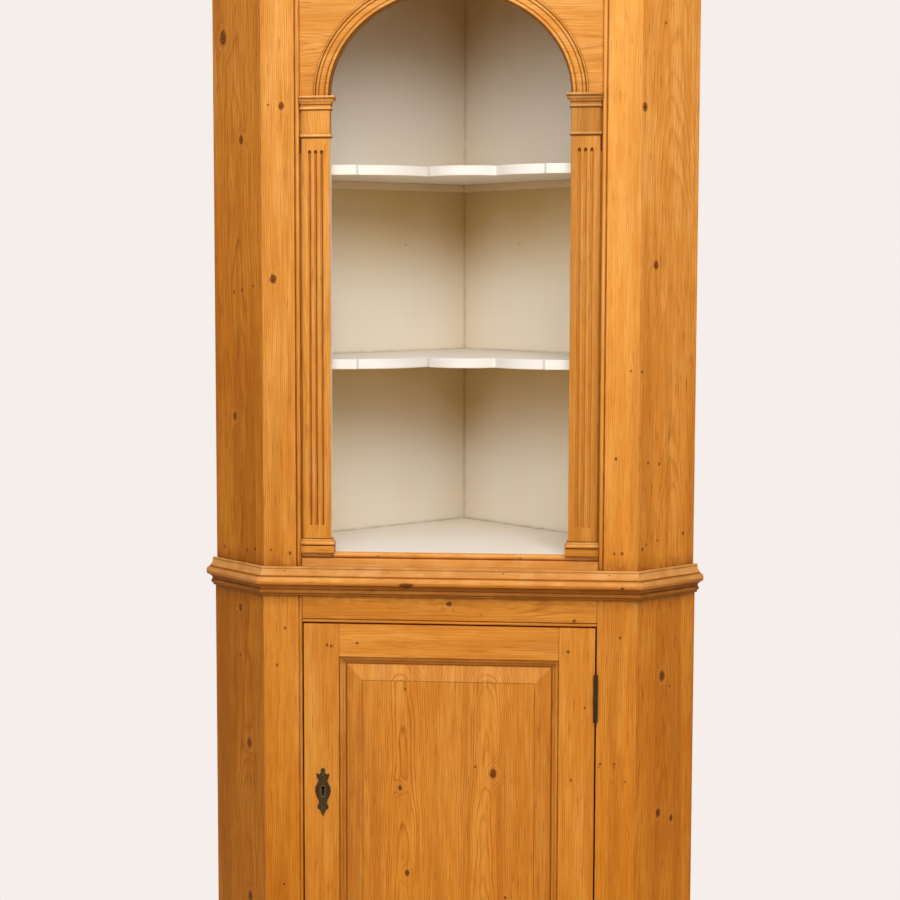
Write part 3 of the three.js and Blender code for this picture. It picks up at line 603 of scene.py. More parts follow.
def old_metal(name, colour, worn_colour, stain, seed, stained=None, grooves=()):
    """A dark metal with a rubbed crown and a dull stain, by place where one is given."""
    finish = Finish(name)
    pitted = finish.pattern("pitting", seed)
    cloud = finish.pattern("metal cloud", seed)
    edge = finish.edge()
    share = cloud.rise(0.40, 0.66) * 0.7
    if stained:
        share = (share * 0.5 + stained(finish)).least(1.0)
    metal = finish.mix(share, opaque(colour), opaque(stain))
    metal = finish.mix(pitted.rise(0.55, 0.75) * 0.4, metal, toned(colour, 0.5))
    metal = finish.mix(edge.most(0.0) * pitted.rise(0.3, 0.6) * 0.8, metal, opaque(worn_colour))
    for mark in grooves:
        metal = finish.mix(mark(finish), metal, toned(colour, 0.25))
    shine = 0.30 - cloud.rise(0.45, 0.70) * 0.20
    finish.tree.links.new(shine.socket, finish.surface.inputs["Metallic"])
    finish.surface.inputs["Specular IOR Level"].default_value = 0.22
    return finish.end(metal, 0.50 + pitted * 0.30, pitted, METAL_RELIEF)


# Making the pieces

def middle_of(node):
    """The middle of a node's box."""
    low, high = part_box(node)
    return (Vector(low) + Vector(high)) / 2


def new_piece(name, add, **settings):
    """A piece begun with one primitive, alone and active."""
    bpy.ops.object.select_all(action="DESELECT")
    add(**settings)
    piece = bpy.context.object
    piece.name = name
    return piece


def block(name, place, size):
    """A box at a place, with its three sizes."""
    piece = new_piece(name, bpy.ops.mesh.primitive_cube_add, size=1.0, location=place)
    piece.scale = size
    bpy.ops.object.transform_apply(location=True, rotation=True, scale=True)
    return piece


def only(piece):
    """Selects one object alone and makes it active."""
    bpy.ops.object.select_all(action="DESELECT")
    piece.select_set(True)
    bpy.context.view_layer.objects.active = piece


def remove(piece):
    only(piece)
    bpy.ops.object.delete()


def apply_modifier(piece, kind, **settings):
    """Adds a modifier with its settings and applies it."""
    only(piece)
    bpy.ops.object.modifier_add(type=kind)
    modifier = piece.modifiers[-1]
    for name, value in settings.items():
        setattr(modifier, name, value)
    bpy.ops.object.modifier_apply(modifier=modifier.name)


def edit_mesh(piece):
    """Opens a piece for editing with nothing selected."""
    only(piece)
    bpy.ops.object.mode_set(mode="EDIT")
    bpy.ops.mesh.select_mode(type="EDGE")
    bpy.ops.mesh.select_all(action="DESELECT")
    return bmesh.from_edit_mesh(piece.data)


def pick_edges(piece, mesh, wanted):
    """Selects the wanted edges, and says how many there are."""
    count = 0
    for edge in mesh.edges:
        if len(edge.link_faces) == 2 and wanted(edge):
            edge.select_set(True)
            count += 1
    bmesh.update_edit_mesh(piece.data)
    return count


def ease_edges(piece, wanted, width, segments):
    """Bevels the wanted edges and marks the new faces: 1 outside, -1 in a hollow."""
    while len(piece.data.materials) < 2:
        piece.data.materials.append(None)
    mesh = edit_mesh(piece)
    if not mesh.loops.layers.float.get("edge"):
        mesh.loops.layers.float.new("edge")
    if pick_edges(piece, mesh, wanted):
        bpy.ops.mesh.bevel(offset=width, segments=segments, profile=0.5, affect="EDGES",
                           clamp_overlap=True, material=1)
        mesh = bmesh.from_edit_mesh(piece.data)
        mark = mesh.loops.layers.float["edge"]
        for face in mesh.faces:
            if face.material_index == 1:
                face.material_index = 0
                bend = sum(edge.calc_face_angle_signed(0.0) for edge in face.edges)
                for loop in face.loops:
                    loop[mark] = 1.0 if bend > 0.0 else -1.0
        bmesh.update_edit_mesh(piece.data)
    bpy.ops.object.mode_set(mode="OBJECT")


def sharp(edge):
    return abs(edge.calc_face_angle_signed(0.0)) > math.radians(33.0)


def merged_copy(node, name):
    """The shape of a CAD node as a new piece, with its loose triangles joined into faces."""
    source = frame["nodes"][node]
    shape = source.data.copy()
    shape.name = name
    shape.materials.clear()
    piece = bpy.data.objects.new(name, shape)
    bpy.context.scene.collection.objects.link(piece)
    edit_mesh(piece)
    bpy.ops.mesh.select_all(action="SELECT")
    bpy.ops.mesh.remove_doubles(threshold=0.00002)
    bpy.ops.mesh.customdata_custom_splitnormals_clear()
    bpy.ops.mesh.dissolve_limited(angle_limit=math.radians(0.6), use_dissolve_boundaries=False)
    bpy.ops.object.mode_set(mode="OBJECT")
    return piece


def smooth(piece, angle=52.0):
    """Smooth shading over soft edges, with the broad faces kept flat."""
    only(piece)
    bpy.ops.object.shade_smooth_by_angle(angle=math.radians(angle))
    apply_modifier(piece, "WEIGHTED_NORMAL", keep_sharp=True)


def settle(piece, finish, body, nodes=()):
    """Gives a piece its finish and its body, and hides the nodes it stands for."""
    piece.data.materials.clear()
    piece.data.materials.append(finish)
    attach(piece, body)
    if nodes:
        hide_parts(*nodes)
    if not piece.data.polygons:
        raise RuntimeError(piece.name + " has no faces")
    return piece


def dress(node, finish, ease=None, rounded=(), eased=sharp, crease=52.0, worked=None):
    """Makes the softened piece that stands for a node.

    rounded holds (which edges, radius), eased says which edges get the plain easing, and worked
    cuts the shape before that.
    """
    piece = merged_copy(node, node + "_softened")
    if worked:
        worked(piece)
    for wanted, radius in rounded:
        ease_edges(piece, lambda edge, wanted=wanted: sharp(edge) and wanted(edge), radius, 4)
    ease_edges(piece, eased, ease or sizes().eased_edge, 2)
    smooth(piece, crease)
    return settle(piece, finish, body_of(frame["nodes"][node])[0], (node,))


def at_sides(half, width, strength=0.8):
    """Dirt in the joints at both ends of a rail."""
    return lambda finish: abs(finish.along).line(half, width) * strength


def level_lines(*heights, width=0.0016, strength=0.75):
    """Lines round a piece at set heights."""
    def mark(finish):
        up = finish.height()
        return greatest(up.line(height, width) for height in heights) * strength
    return mark


def inner_face(finish):
    """Paint on the inner face of a board."""
    return finish.into.rise(PAINT_DEPTH - SOFT, PAINT_DEPTH + SOFT)


# What is marked on each board: knots and specks at their places, with a radius in metres.

LEFT_FOLD = (-FOLD, FRONT, 0.0)
RIGHT_FOLD = (FOLD, FRONT, 0.0)
LOWER_LEFT_FOLD = (-LOWER_FOLD, LOWER_FRONT, 0.0)
LOWER_RIGHT_FOLD = (LOWER_FOLD, LOWER_FRONT, 0.0)


def on_front(*marks):
    """Marks on the face of the upper stage from (x, z, radius)."""
    return [((x, FRONT, z), radius) for x, z, radius in marks]


def on_left_side(*marks):
    """Marks on the left side from (x, z, radius)."""
    return [((x, FRONT - x - FOLD, z), radius) for x, z, radius in marks]


def on_right_side(*marks):
    """Marks on the right side from (x, z, radius)."""
    return [((x, FRONT + x - FOLD, z), radius) for x, z, radius in marks]


def bead_quirk(finish):
    """Dirt and painted shade in the quirk beside the bead on a stile's inner edge."""
    return abs(finish.right()).line(STILE_EDGE + BEAD, 0.0016) * 0.55


def below_waist(finish):
    """Painted shadow and dirt under the waist moulding."""
    blot = finish.pattern("blot", 7).rise(0.35, 0.62) * 0.5 + 0.5
    return finish.height().rise(WAIST_LOW - 0.030, WAIST_LOW + 0.004) * blot * 0.55


def above_waist(finish):
    """Dirt gathered on top of the waist moulding."""
    blot = finish.pattern("blot", 8).rise(0.38, 0.62) * 0.6 + 0.4
    return finish.height().rise(WAIST_HIGH + 0.034, WAIST_HIGH - 0.004) * blot * 0.50


def stile_shadow(finish):
    """Painted shadow of the stile on the pilaster beside it."""
    return abs(finish.right()).rise(STILE_EDGE - 0.013, STILE_EDGE) * 0.42


def make_stiles():
    dress("upper_stile_left", pine(
        "honey pine, upper left stile", "upright", 1, (0, FRONT, 0), ((-0.185, 0.03),), 0.006,
        knots=on_front((-0.3029, 1.8216, 0.0042), (-0.3193, 1.512, 0.0050)),
        specks=on_front((-0.3265, 1.8237, 0.0016), (-0.3261, 1.0162, 0.0018),
                        (-0.2909, 1.0112, 0.0026)),
        soiled_and_shaded=(bead_quirk, above_waist), painted=inner_face))
    dress("upper_stile_right", pine(
        "honey pine, upper right stile", "upright", 2, (0, FRONT, 0), ((0.19, 0.03),), 0.006,
        tone=1.06, contrast=0.5, grain=0.8,
        specks=on_front((0.3001, 1.1895, 0.0022), (0.325, 1.3474, 0.0016),
                        (0.2986, 1.018, 0.002), (0.3125, 1.018, 0.0024)),
        soiled_and_shaded=(bead_quirk, above_waist), painted=inner_face))
    dress("lower_stile_left", pine(
        "honey pine, lower left stile", "upright", 3, (0, LOWER_FRONT, 0), ((-0.20, 0.03),), 0.01,
        tone=0.99, specks=on_front((-0.3006, 0.8719, 0.0022), (-0.3159, 0.8025, 0.0022),
                                   (-0.3052, 0.3883, 0.0022)),
        soiled_and_shaded=(below_waist,)))
    dress("lower_stile_right", pine(
        "honey pine, lower right stile", "upright", 4, (0, LOWER_FRONT, 0), ((0.19, 0.03),), 0.01,
        specks=on_front((0.3105, 0.8649, 0.002), (0.2769, 0.6319, 0.002), (0.3022, 0.6325, 0.002),
                        (0.3223, 0.5997, 0.0014), (0.302, 0.6255, 0.0014), (0.2745, 0.626, 0.0014)),
        tone=1.02, soiled_and_shaded=(below_waist,)))


def make_sides():
    # Painted shade: the left sides are toned darker and deeper than the right ones, as the sides
    # turned from the light.
    dress("upper_side_left", pine(
        "honey pine, upper left side", "left side", 5, LEFT_FOLD, ((0.075, 0.022),), 0.03,
        grain=1.6, contrast=0.9, tone=0.91, deep=0.7,
        knots=on_left_side((-0.422, 1.9533, 0.0085), (-0.3834, 1.7648, 0.0052),
                           (-0.4018, 1.2579, 0.0048)),
        specks=on_left_side((-0.4018, 1.4879, 0.0024), (-0.3837, 1.4918, 0.0028),
                            (-0.3592, 1.4993, 0.0022), (-0.4273, 1.0098, 0.0024),
                            (-0.3769, 1.0102, 0.0026), (-0.3589, 1.0149, 0.003)),
        soiled_and_shaded=(above_waist,), painted=inner_face))
    dress("upper_side_right", pine(
        "honey pine, upper right side", "right side", 6, RIGHT_FOLD, ((0.085, 0.018),), 0.045,
        grain=1.3, contrast=0.55, tone=1.09, deep=0.1, soiled_and_shaded=(above_waist,),
        knots=on_right_side((0.3445, 1.8127, 0.0050), (0.3681, 1.5355, 0.0050)),
        specks=on_right_side((0.381, 1.9623, 0.0022), (0.3446, 1.3454, 0.0022),
                             (0.3577, 1.181, 0.0022), (0.3782, 1.1773, 0.0022),
                             (0.349, 1.025, 0.0026), (0.3565, 1.033, 0.002),
                             (0.377, 1.038, 0.002), (0.4255, 1.045, 0.0026)),
        painted=inner_face))
    dress("lower_side_left", pine(
        "honey pine, lower left side", "left side", 7, LOWER_LEFT_FOLD, ((0.05, 0.02),), 0.04,
        grain=1.6, contrast=0.9, tone=0.79, deep=0.6, soiled_and_shaded=(below_waist,),
        knots=on_left_side((-0.3727, 0.6466, 0.006), (-0.373, 0.3524, 0.0055),
                           (-0.3909, 0.9008, 0.0042)),
        specks=on_left_side((-0.3918, 0.8095, 0.0026))))
    dress("lower_side_right", pine(
        "honey pine, lower right side", "right side", 8, LOWER_RIGHT_FOLD, ((0.075, 0.015),), 0.04,
        grain=1.5, contrast=0.6, tone=1.03, deep=0.15, soiled_and_shaded=(below_waist,),
        knots=on_right_side((0.3869, 0.7871, 0.0060), (0.3825, 0.532, 0.0052),
                            (0.4077, 0.5161, 0.0040)),
        specks=on_right_side((0.402, 0.765, 0.002))))


def sill_paint(finish):
    """Paint on the inner part of the sill rail, between the pilasters."""
    between = abs(finish.along).rise(ARCH_HALF + 0.006, ARCH_HALF + 0.004)
    return finish.into.rise(0.0115, 0.0125) * between


def make_rails():
    ends = at_sides(DOORWAY_EDGE, 0.0014)
    dress("sill_rail", pine(
        "honey pine, sill rail", "rail", 9, (0, INFILL_FRONT, 0), ((0.90, 0.05),), 0.01,
        tone=1.14, contrast=0.6,
        specks=[((x, INFILL_FRONT, 1.0055), 0.0026) for x in (-0.215, -0.13, 0.13)],
        polish_and_highlight=(level_lines(SILL - 0.02, width=0.05, strength=0.30),),
        soiled_and_shaded=(level_lines(SILL - SILL_BEAD, width=0.0014, strength=0.30),),
        painted=sill_paint))
    dress("lower_top_rail", pine(
        "honey pine, lower top rail", "rail", 10, (0, LOWER_FRONT, 0), ((0.93, 0.035),), 0.02,
        tone=0.98, contrast=0.6, knots=[((0.0013, LOWER_FRONT, 0.9218), 0.0036)],
        specks=[((0.2277, LOWER_FRONT, 0.8945), 0.0026), ((0.06, LOWER_FRONT, 0.9010), 0.0012)],
        soiled_and_shaded=(ends, below_waist)))
    dress("lower_bottom_rail", pine(
        "honey pine, lower bottom rail", "rail", 11, (0, LOWER_FRONT, 0), ((0.09, 0.03),), 0.02,
        tone=0.96, soiled_and_shaded=(ends,)))


def arch_distance(finish):
    """0 at the middle of the arch and 1 on its inner edge."""
    over = finish.right() / ARCH_HALF
    up = (finish.height() - SPRINGING) / ARCH_RISE
    return (over * over + up * up) ** 0.5


def arch_offset(finish):
    """How far a point lies outside the inner edge of the arch, in metres."""
    over = finish.right()
    up = finish.height() - SPRINGING
    reach = (over * over / ARCH_HALF ** 2 + up * up / ARCH_RISE ** 2) ** 0.5
    size = (over * over / ARCH_HALF + up * up / ARCH_RISE) / (reach * reach)
    return (reach - 1.0) * size


def arch_lines(finish):
    """Dirt and painted shade in the quirks of the arch moulding."""
    offset = arch_offset(finish)
    return greatest(offset.line(ARCH_OUTER - share * ARCH_MOULDING, 0.0018) * strength
                    for share, strength in ARCH_QUIRKS)


def arch_hollow(finish):
    """Darkening of the arch board's reveal round the opening."""
    return arch_distance(finish).rise(1.030, 1.010) * 0.65


def arch_back(finish):
    """Paint on the back of the arch board."""
    return finish.into.rise(0.0172, 0.0176)


def make_arch():
    dress("arch_board", pine(
        "honey pine, arch board", "rail", 12, (0, INFILL_FRONT, 0), ((1.93, 0.03),), 0.03,
        tone=0.94, contrast=0.55, soiled_and_shaded=(arch_hollow,), painted=arch_back,
        knots=[((0.238, INFILL_FRONT, 2.028), 0.0032)],
        specks=[((-0.235, INFILL_FRONT, 2.028), 0.0026), ((0.256, INFILL_FRONT, 2.021), 0.0022)]))
    dress("arch_moulding", pine(
        "honey pine, arch moulding", "rail", 13, (0, INFILL_FRONT, 0), ((1.90, 0.04),), 0.01,
        contrast=0.4, tone=0.98, soiled_and_shaded=(arch_lines,)), 0.0005)


def flute_shade(finish):
    """Painted shade down the flutes, darkest on their sides turned from the light and in their
    round heads, with dirt down their middles.
    """
    over = finish.right()
    from_middle = abs(over) - FLUTE_MIDDLE
    deep = finish.into.rise(0.0002, 0.0012) * finish.into.rise(0.0100, 0.0050)
    rows = [flute * FLUTE_PITCH for flute in (-1, 0, 1)]
    middles = smallest(abs(from_middle - row) for row in rows).rise(0.0030, 0.0010)
    shaded = greatest(over.line(sign * FLUTE_MIDDLE + row + 0.0021, 0.0016)
                      for sign in (-1, 1) for row in rows)
    heads = finish.along.rise(FLUTE_HEAD - 0.0085, FLUTE_HEAD - 0.0045)
    return deep * greatest([shaded * 0.95, middles * 0.26, heads * 1.14])


def pilaster_paint(sign):
    """Paint on a pilaster's side towards the opening, and on its back."""
    def mark(finish):
        reveal = finish.measured(RIGHT * sign).rise(ARCH_HALF + 0.0012, ARCH_HALF + 0.0004)
        reveal = reveal * finish.into.rise(0.0035, 0.0045)
        return reveal.most(finish.into.rise(0.0237, 0.0239))
    return mark


def make_pilaster(side, sign, shaft_tone, base_tone, capital_tone):
    """Dresses one pilaster's shaft, base and capital."""
    shaft = "pilaster_shaft_" + side
    low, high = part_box(shaft)
    face = (0, low.y, 0)
    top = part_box("capital_" + side)[1].z
    hearts = ((sign * 0.30, 0.05),)
    # Dirt and painted shade in the flutes, beside the stile and under the capital; painted
    # highlights on the crowns of the base and capital.
    dress(shaft, pine(
        "honey pine, %s shaft" % side, "upright", 14 + sign, face, hearts, 0.02,
        contrast=0.5, tone=shaft_tone, painted=pilaster_paint(sign),
        soiled_and_shaded=(flute_shade, stile_shadow, level_lines(high.z, width=0.0030, strength=0.9),
                level_lines(low.z, width=0.0018))), 0.0005)
    dress("pilaster_base_" + side, pine(
        "honey pine, %s base" % side, "rail", 18 + sign, face, ((1.05, 0.04),), 0.02,
        contrast=0.6, tone=base_tone,
        polish_and_highlight=(level_lines(SILL + BASE_CROWN, low.z - 0.001, width=0.0022, strength=0.6),),
        soiled_and_shaded=(level_lines(SILL + BASE_QUIRK, width=0.0018, strength=0.9), stile_shadow,
                level_lines(SILL, low.z, width=0.0016, strength=0.8))), 0.0005)
    crowns = [top - drop for drop in CAPITAL_CROWNS]
    quirks = [top - drop for drop in CAPITAL_QUIRKS]
    dress("capital_" + side, pine(
        "honey pine, %s capital" % side, "upright", 21 + sign, face, hearts, 0.02,
        contrast=0.5, tone=capital_tone,
        polish_and_highlight=(level_lines(*crowns, high.z + 0.0042, width=0.0024, strength=0.75),),
        soiled_and_shaded=(level_lines(*quirks, high.z + 0.0005, width=0.0019, strength=0.92),
                stile_shadow)), 0.0005)


def make_pilasters():
    make_pilaster("left", -1, 0.99, 1.04, 0.97)
    make_pilaster("right", 1, 0.85, 0.90, 0.70)


SHELVES = ("middle_shelf", "upper_shelf")

# Where the sweeps of a shelf's front meet: place across, width and strength of the painted shade
# and dirt there.
SWEEP_ENDS = ((-0.168, 0.009, 0.03), (-0.038, 0.020, 0.07), (0.166, 0.009, 0.03),
              (0.084, 0.012, 0.03))


def shelf_levels():
    """Underside and top of each board that divides the open stage, from the floor up."""
    boards = [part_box(node) for node in ("upper_floor_board", *SHELVES)]
    return [(low.z, high.z) for low, high in boards]


def bay_shade(finish):
    """Painted shade towards the top of each bay, under the board above, and in the corner where the
    backs meet.
    """
    up = finish.height()
    levels = shelf_levels()
    ceilings = [low for low, _ in levels[1:]] + [levels[-1][1] + 0.40]
    top_shade = greatest(up.rise(top + (ceiling - top) * 0.30, ceiling)
                     * up.rise(ceiling + 0.012, ceiling + 0.002)
                     for (_, top), ceiling in zip(levels, ceilings))
    corner = abs(finish.right()).rise(0.075, 0.0) * (top_shade * 0.25 + 0.15)
    return top_shade + corner


def wall_joint(finish):
    """Dirt and painted shade down the corner and along the top of each board."""
    up = finish.height()
    broken = finish.pattern("joint dirt", 3).rise(0.35, 0.60) * 0.6 + 0.4
    corner = abs(finish.right()).rise(0.0060, 0.0010) * 0.17
    tops = [up.line(top, 0.0050) * 0.24 for _, top in shelf_levels()]
    return greatest([corner, *tops]) * broken


def board_joint(finish):
    """Dirt and painted shade where a board meets the backs, with broad painted shade over its back
    part.
    """
    reach = abs(finish.right()) + finish.measured(BACK)
    broken = finish.pattern("board dirt", 4).rise(0.30, 0.60) * 0.6 + 0.4
    close = reach.rise(SHELF_BACK - 0.016, SHELF_BACK - 0.003) * 0.6
    return (close + reach.rise(SHELF_BACK - 0.12, SHELF_BACK) * 0.12) * broken


def cleat_shade(finish):
    """Uneven painted shade on a cleat under its shelf."""
    return finish.pattern("cleat cloud", 5) * 0.2 + 0.62


def underside_shade(node):
    """Painted shade under a board."""
    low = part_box(node)[0].z
    return lambda finish: finish.height().rise(low + 0.0030, low + 0.0004) * 0.34


def shelf_quirks(finish):
    """Painted shade and old dirt where the sweeps of a shelf's front meet."""
    over, up = finish.right(), finish.height()
    middles = [sum(corner.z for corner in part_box(node)) / 2 for node in SHELVES]
    front = greatest(abs(up - middle).rise(0.0085, 0.0070) for middle in middles)
    return front * greatest(over.line(place, width) * strength
                            for place, width, strength in SWEEP_ENDS)


def at_shelf_front(edge):
    return all(vertex.co.y + abs(vertex.co.x) < SHELF_BACK - 0.012 for vertex in edge.verts)


def shelf_nosing(edge):
    """Whether an edge runs level along a shelf's front."""
    return at_shelf_front(edge) and abs(edge.verts[0].co.z - edge.verts[1].co.z) < 0.001


def shelf_corner(edge):
    """Whether an edge is an upright corner in a shelf's front."""
    return at_shelf_front(edge) and abs(edge.verts[0].co.z - edge.verts[1].co.z) > 0.010


def make_shelves():
    for number, node in enumerate(SHELVES):
        dress(node, painted_board("white paint, " + node.replace("_", " "), "level", 31 + number,
                                  dirt_and_shade_marks=(board_joint, shelf_quirks), tone=0.91,
                                  shade_mask=underside_shade(node)),
              rounded=((shelf_corner, sizes().shelf_corner), (shelf_nosing, sizes().shelf_nosing)),
              eased=lambda edge: sharp(edge) and not at_shelf_front(edge))
        for side in ("left", "right"):
            cleat = node + "_cleat_" + side
            dress(cleat, painted_board("cream paint, " + cleat.replace("_", " "), side + " back",
                                       35 + number, aged=0.8, shade_mask=cleat_shade))
    dress("upper_floor_board", painted_board("white paint, floor board", "level", 39,
                                             dirt_and_shade_marks=(board_joint,), tone=1.06))


def joint_places(shape, side):
    """How far across a back its plank joints lie."""
    level = Vector(LIES[side + " back"][0])
    reach = [vertex.co.dot(level) for vertex in shape.vertices]
    return [min(reach) + (max(reach) - min(reach)) * share for share in PLANK_SHARES]


def plank_marks(places):
    """Dirt in the plank joints, and two planks darker than their neighbours."""
    def mark(finish):
        over = finish.across
        first, second, third = places
        joints = greatest(over.line(place, 0.0030) for place in places)
        plank = over.rise(first - SOFT, first + SOFT) * over.rise(second + SOFT, second - SOFT)
        last = over.rise(third - SOFT, third + SOFT)
        return greatest([joints * 0.8, plank * 0.16, last * 0.09])
    return mark


def plank_joints(piece, side):
    """Cuts the joints between the planks of a back into its outer face."""
    outward, level = [Vector(LIES[side + " back"][way]) for way in (2, 0)]
    outer = max(vertex.co.dot(outward) for vertex in piece.data.vertices)
    heights = [vertex.co.z for vertex in piece.data.vertices]
    low, high = min(heights), max(heights)
    joints = []
    for across in joint_places(piece.data, side):
        place = outward * outer + level * across
        size = (PLANK_JOINT, PLANK_JOINT, high - low + 0.02)
        joints.append(block("joint", (place.x, place.y, (low + high) / 2), size))
    cut(piece, joined_piece(joints, piece.name + "_joints"))


def make_backs():
    for side in ("left", "right"):
        for stage, seed in (("upper", 41), ("lower", 43)):
            node = "%s_back_%s" % (stage, side)
            outward = Vector(LIES[side + " back"][2])
            inner = min(vertex.co.dot(outward) for vertex in frame["nodes"][node].data.vertices)
            inside = lambda finish, inner=inner: finish.into.rise(inner + 0.0012, inner + 0.0006)
            # Painted light: the right wall's paint is toned lighter than the left's.
            paint = {"dirt_and_shade_marks": (wall_joint,), "aged": 0.30, "shade_mask": bay_shade,
                     "tone": 0.99 if side == "left" else 1.04}
            dress(node, pine(
                "bare pine, " + node.replace("_", " "), side + " back", seed,
                hearts=((-0.12, 0.03), (0.14, 0.02)), tone=0.80, contrast=0.8, bare=0.50,
                soiled_and_shaded=(plank_marks(joint_places(frame["nodes"][node].data, side)),),
                painted=inside if stage == "upper" else None, coat=paint), 0.0006,
                worked=lambda piece, side=side: plank_joints(piece, side))


def make_lower_inside():
    bare = {"tone": 0.84, "bare": 0.45}
    boards = ("bottom_board", "lower_shelf", "lower_top_board", "upper_top_board")
    for seed, node in enumerate(boards):
        dress(node, pine("bare pine, " + node.replace("_", " "), "level", 45 + seed,
                         hearts=((0.05, 0.03),), contrast=0.8, **bare))
    for side in ("left", "right"):
        dress("lower_shelf_cleat_" + side, pine("bare pine, lower cleat " + side, side + " back",
                                                51, hearts=((0.2, 0.04),), **bare))


# Dents in the waist moulding.
SCARS = [((x, LOWER_FRONT - 0.018, z), radius) for x, z, radius in (
    (-0.0754, 0.9560, 0.0070), (-0.0690, 0.9572, 0.0050), (-0.0830, 0.9572, 0.0042),
    (0.3130, 0.9580, 0.0026))]


def waist_lines(heights, width, strength):
    """Lines at heights above the foot of the waist moulding."""
    return level_lines(*[WAIST_LOW + height for height in heights], width=width, strength=strength)


def waist_underside_shade(finish):
    """Painted shade and old dirt below the round of the waist moulding."""
    return finish.height().rise(WAIST_LOW + 0.0225, WAIST_LOW + 0.0185) * 0.60


def make_mouldings():
    # Dirt and painted shade in the lines, the hollows and under the round; painted highlights on
    # the crowns and band.
    marks = {"soiled_and_shaded": (waist_lines(WAIST_LINES, 0.0014, 0.60),
                        waist_lines(WAIST_HOLLOWS, 0.0019, 0.95), waist_underside_shade),
             "polish_and_highlight": (waist_lines(WAIST_CROWNS, 0.0055, 0.40),
                          waist_lines(WAIST_BAND, 0.0065, 0.42))}
    for prefix, height, tone, marked, scars in (
            ("cornice", 2.1, 1.0, {}, ()),
            ("waist_moulding", 0.96, 1.06, marks, SCARS),
            ("plinth", 0.05, 0.93, {}, ())):
        words = "honey pine, %s " % prefix.replace("_", " ")
        same = dict(marked, hearts=((height, 0.04),), taper=0.01, contrast=0.8, grain=1.3)
        dress(prefix + "_front", pine(words + "front", "rail", 53, (0, FRONT, 0), tone=tone,
                                      specks=scars, **same), 0.0006)
        # Painted shade: the returns are toned darker than the front, the left one most.
        for side, fold, shade in (("left", LEFT_FOLD, 0.84), ("right", RIGHT_FOLD, 0.88)):
            dress(prefix + "_" + side, pine(words + side, side + " return", 57, fold,
                                            tone=tone * shade, **same), 0.0006)


def panel_front(finish):
    """1 on the front of the panel and 0 on its flat back."""
    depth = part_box("door_panel")[1].y - LOWER_FRONT
    return finish.into.rise(depth - 0.0010, depth - 0.0020)


def sticking_lines(finish):
    """Dirt and painted shade in the two quirks of the moulded edge round the panel and round its
    raised field, with painted shade over the moulded edge, darkest under the top rail.
    """
    up = finish.height()
    ring = (abs(finish.right()) - SIGHT_X).most(abs(up - SIGHT_MIDDLE) - SIGHT_HALF)
    head = (up - SIGHT_HIGH).rise(-0.003, 0.001)
    moulded = ring.rise(-0.0008, 0.0006) * ring.rise(0.0138, 0.0124)
    return greatest([
        ring.line(0.0003, 0.0026) * 0.85,
        ring.line(STICKING_QUIRK, 0.0020) * 0.85,
        moulded * finish.into.rise(0.0003, 0.0012) * (head * 0.30 + 0.20),
        ring.line(-FIELD_INSET + SOFT, 0.0014) * 0.45 * panel_front(finish)])


def keyhole_dark(finish):
    """The unlit inside of the keyhole."""
    middle = middle_of("escutcheon")
    over = abs(finish.right() - middle.x).rise(0.0055, 0.0050)
    up = abs(finish.height() - middle.z).rise(0.024, 0.022)
    return over * up * finish.into.rise(0.0002, 0.0008) * finish.into.rise(0.0205, 0.0195)


def bevel_side_shade(finish):
    """Painted shade on the two upright bevels of the panel, darker on the left one, and where they
    meet the level ones.
    """
    over = finish.right()
    up = abs(finish.height() - SIGHT_MIDDLE) - SIGHT_HALF
    side = abs(over) - SIGHT_X
    on_bevel = side.most(up).rise(-FIELD_INSET - SOFT, -FIELD_INSET + SOFT) * panel_front(finish)
    return on_bevel * (side - up).rise(-0.0006, 0.0006) * (over.rise(0.05, -0.05) * 0.08 + 0.11)


def bevel_head_highlight(finish):
    """Painted highlight on the upper bevel, which faces up."""
    over = abs(finish.right()) - SIGHT_X
    up = finish.height() - SIGHT_HIGH
    on_bevel = up.rise(-FIELD_INSET - SOFT, -FIELD_INSET + SOFT) * panel_front(finish)
    return on_bevel * (up - over).rise(-0.0006, 0.0006) * 0.13


def on_door(*marks):
    """Marks on the face of the door from (x, z, radius)."""
    return [((x, LOWER_FRONT, z), radius) for x, z, radius in marks]


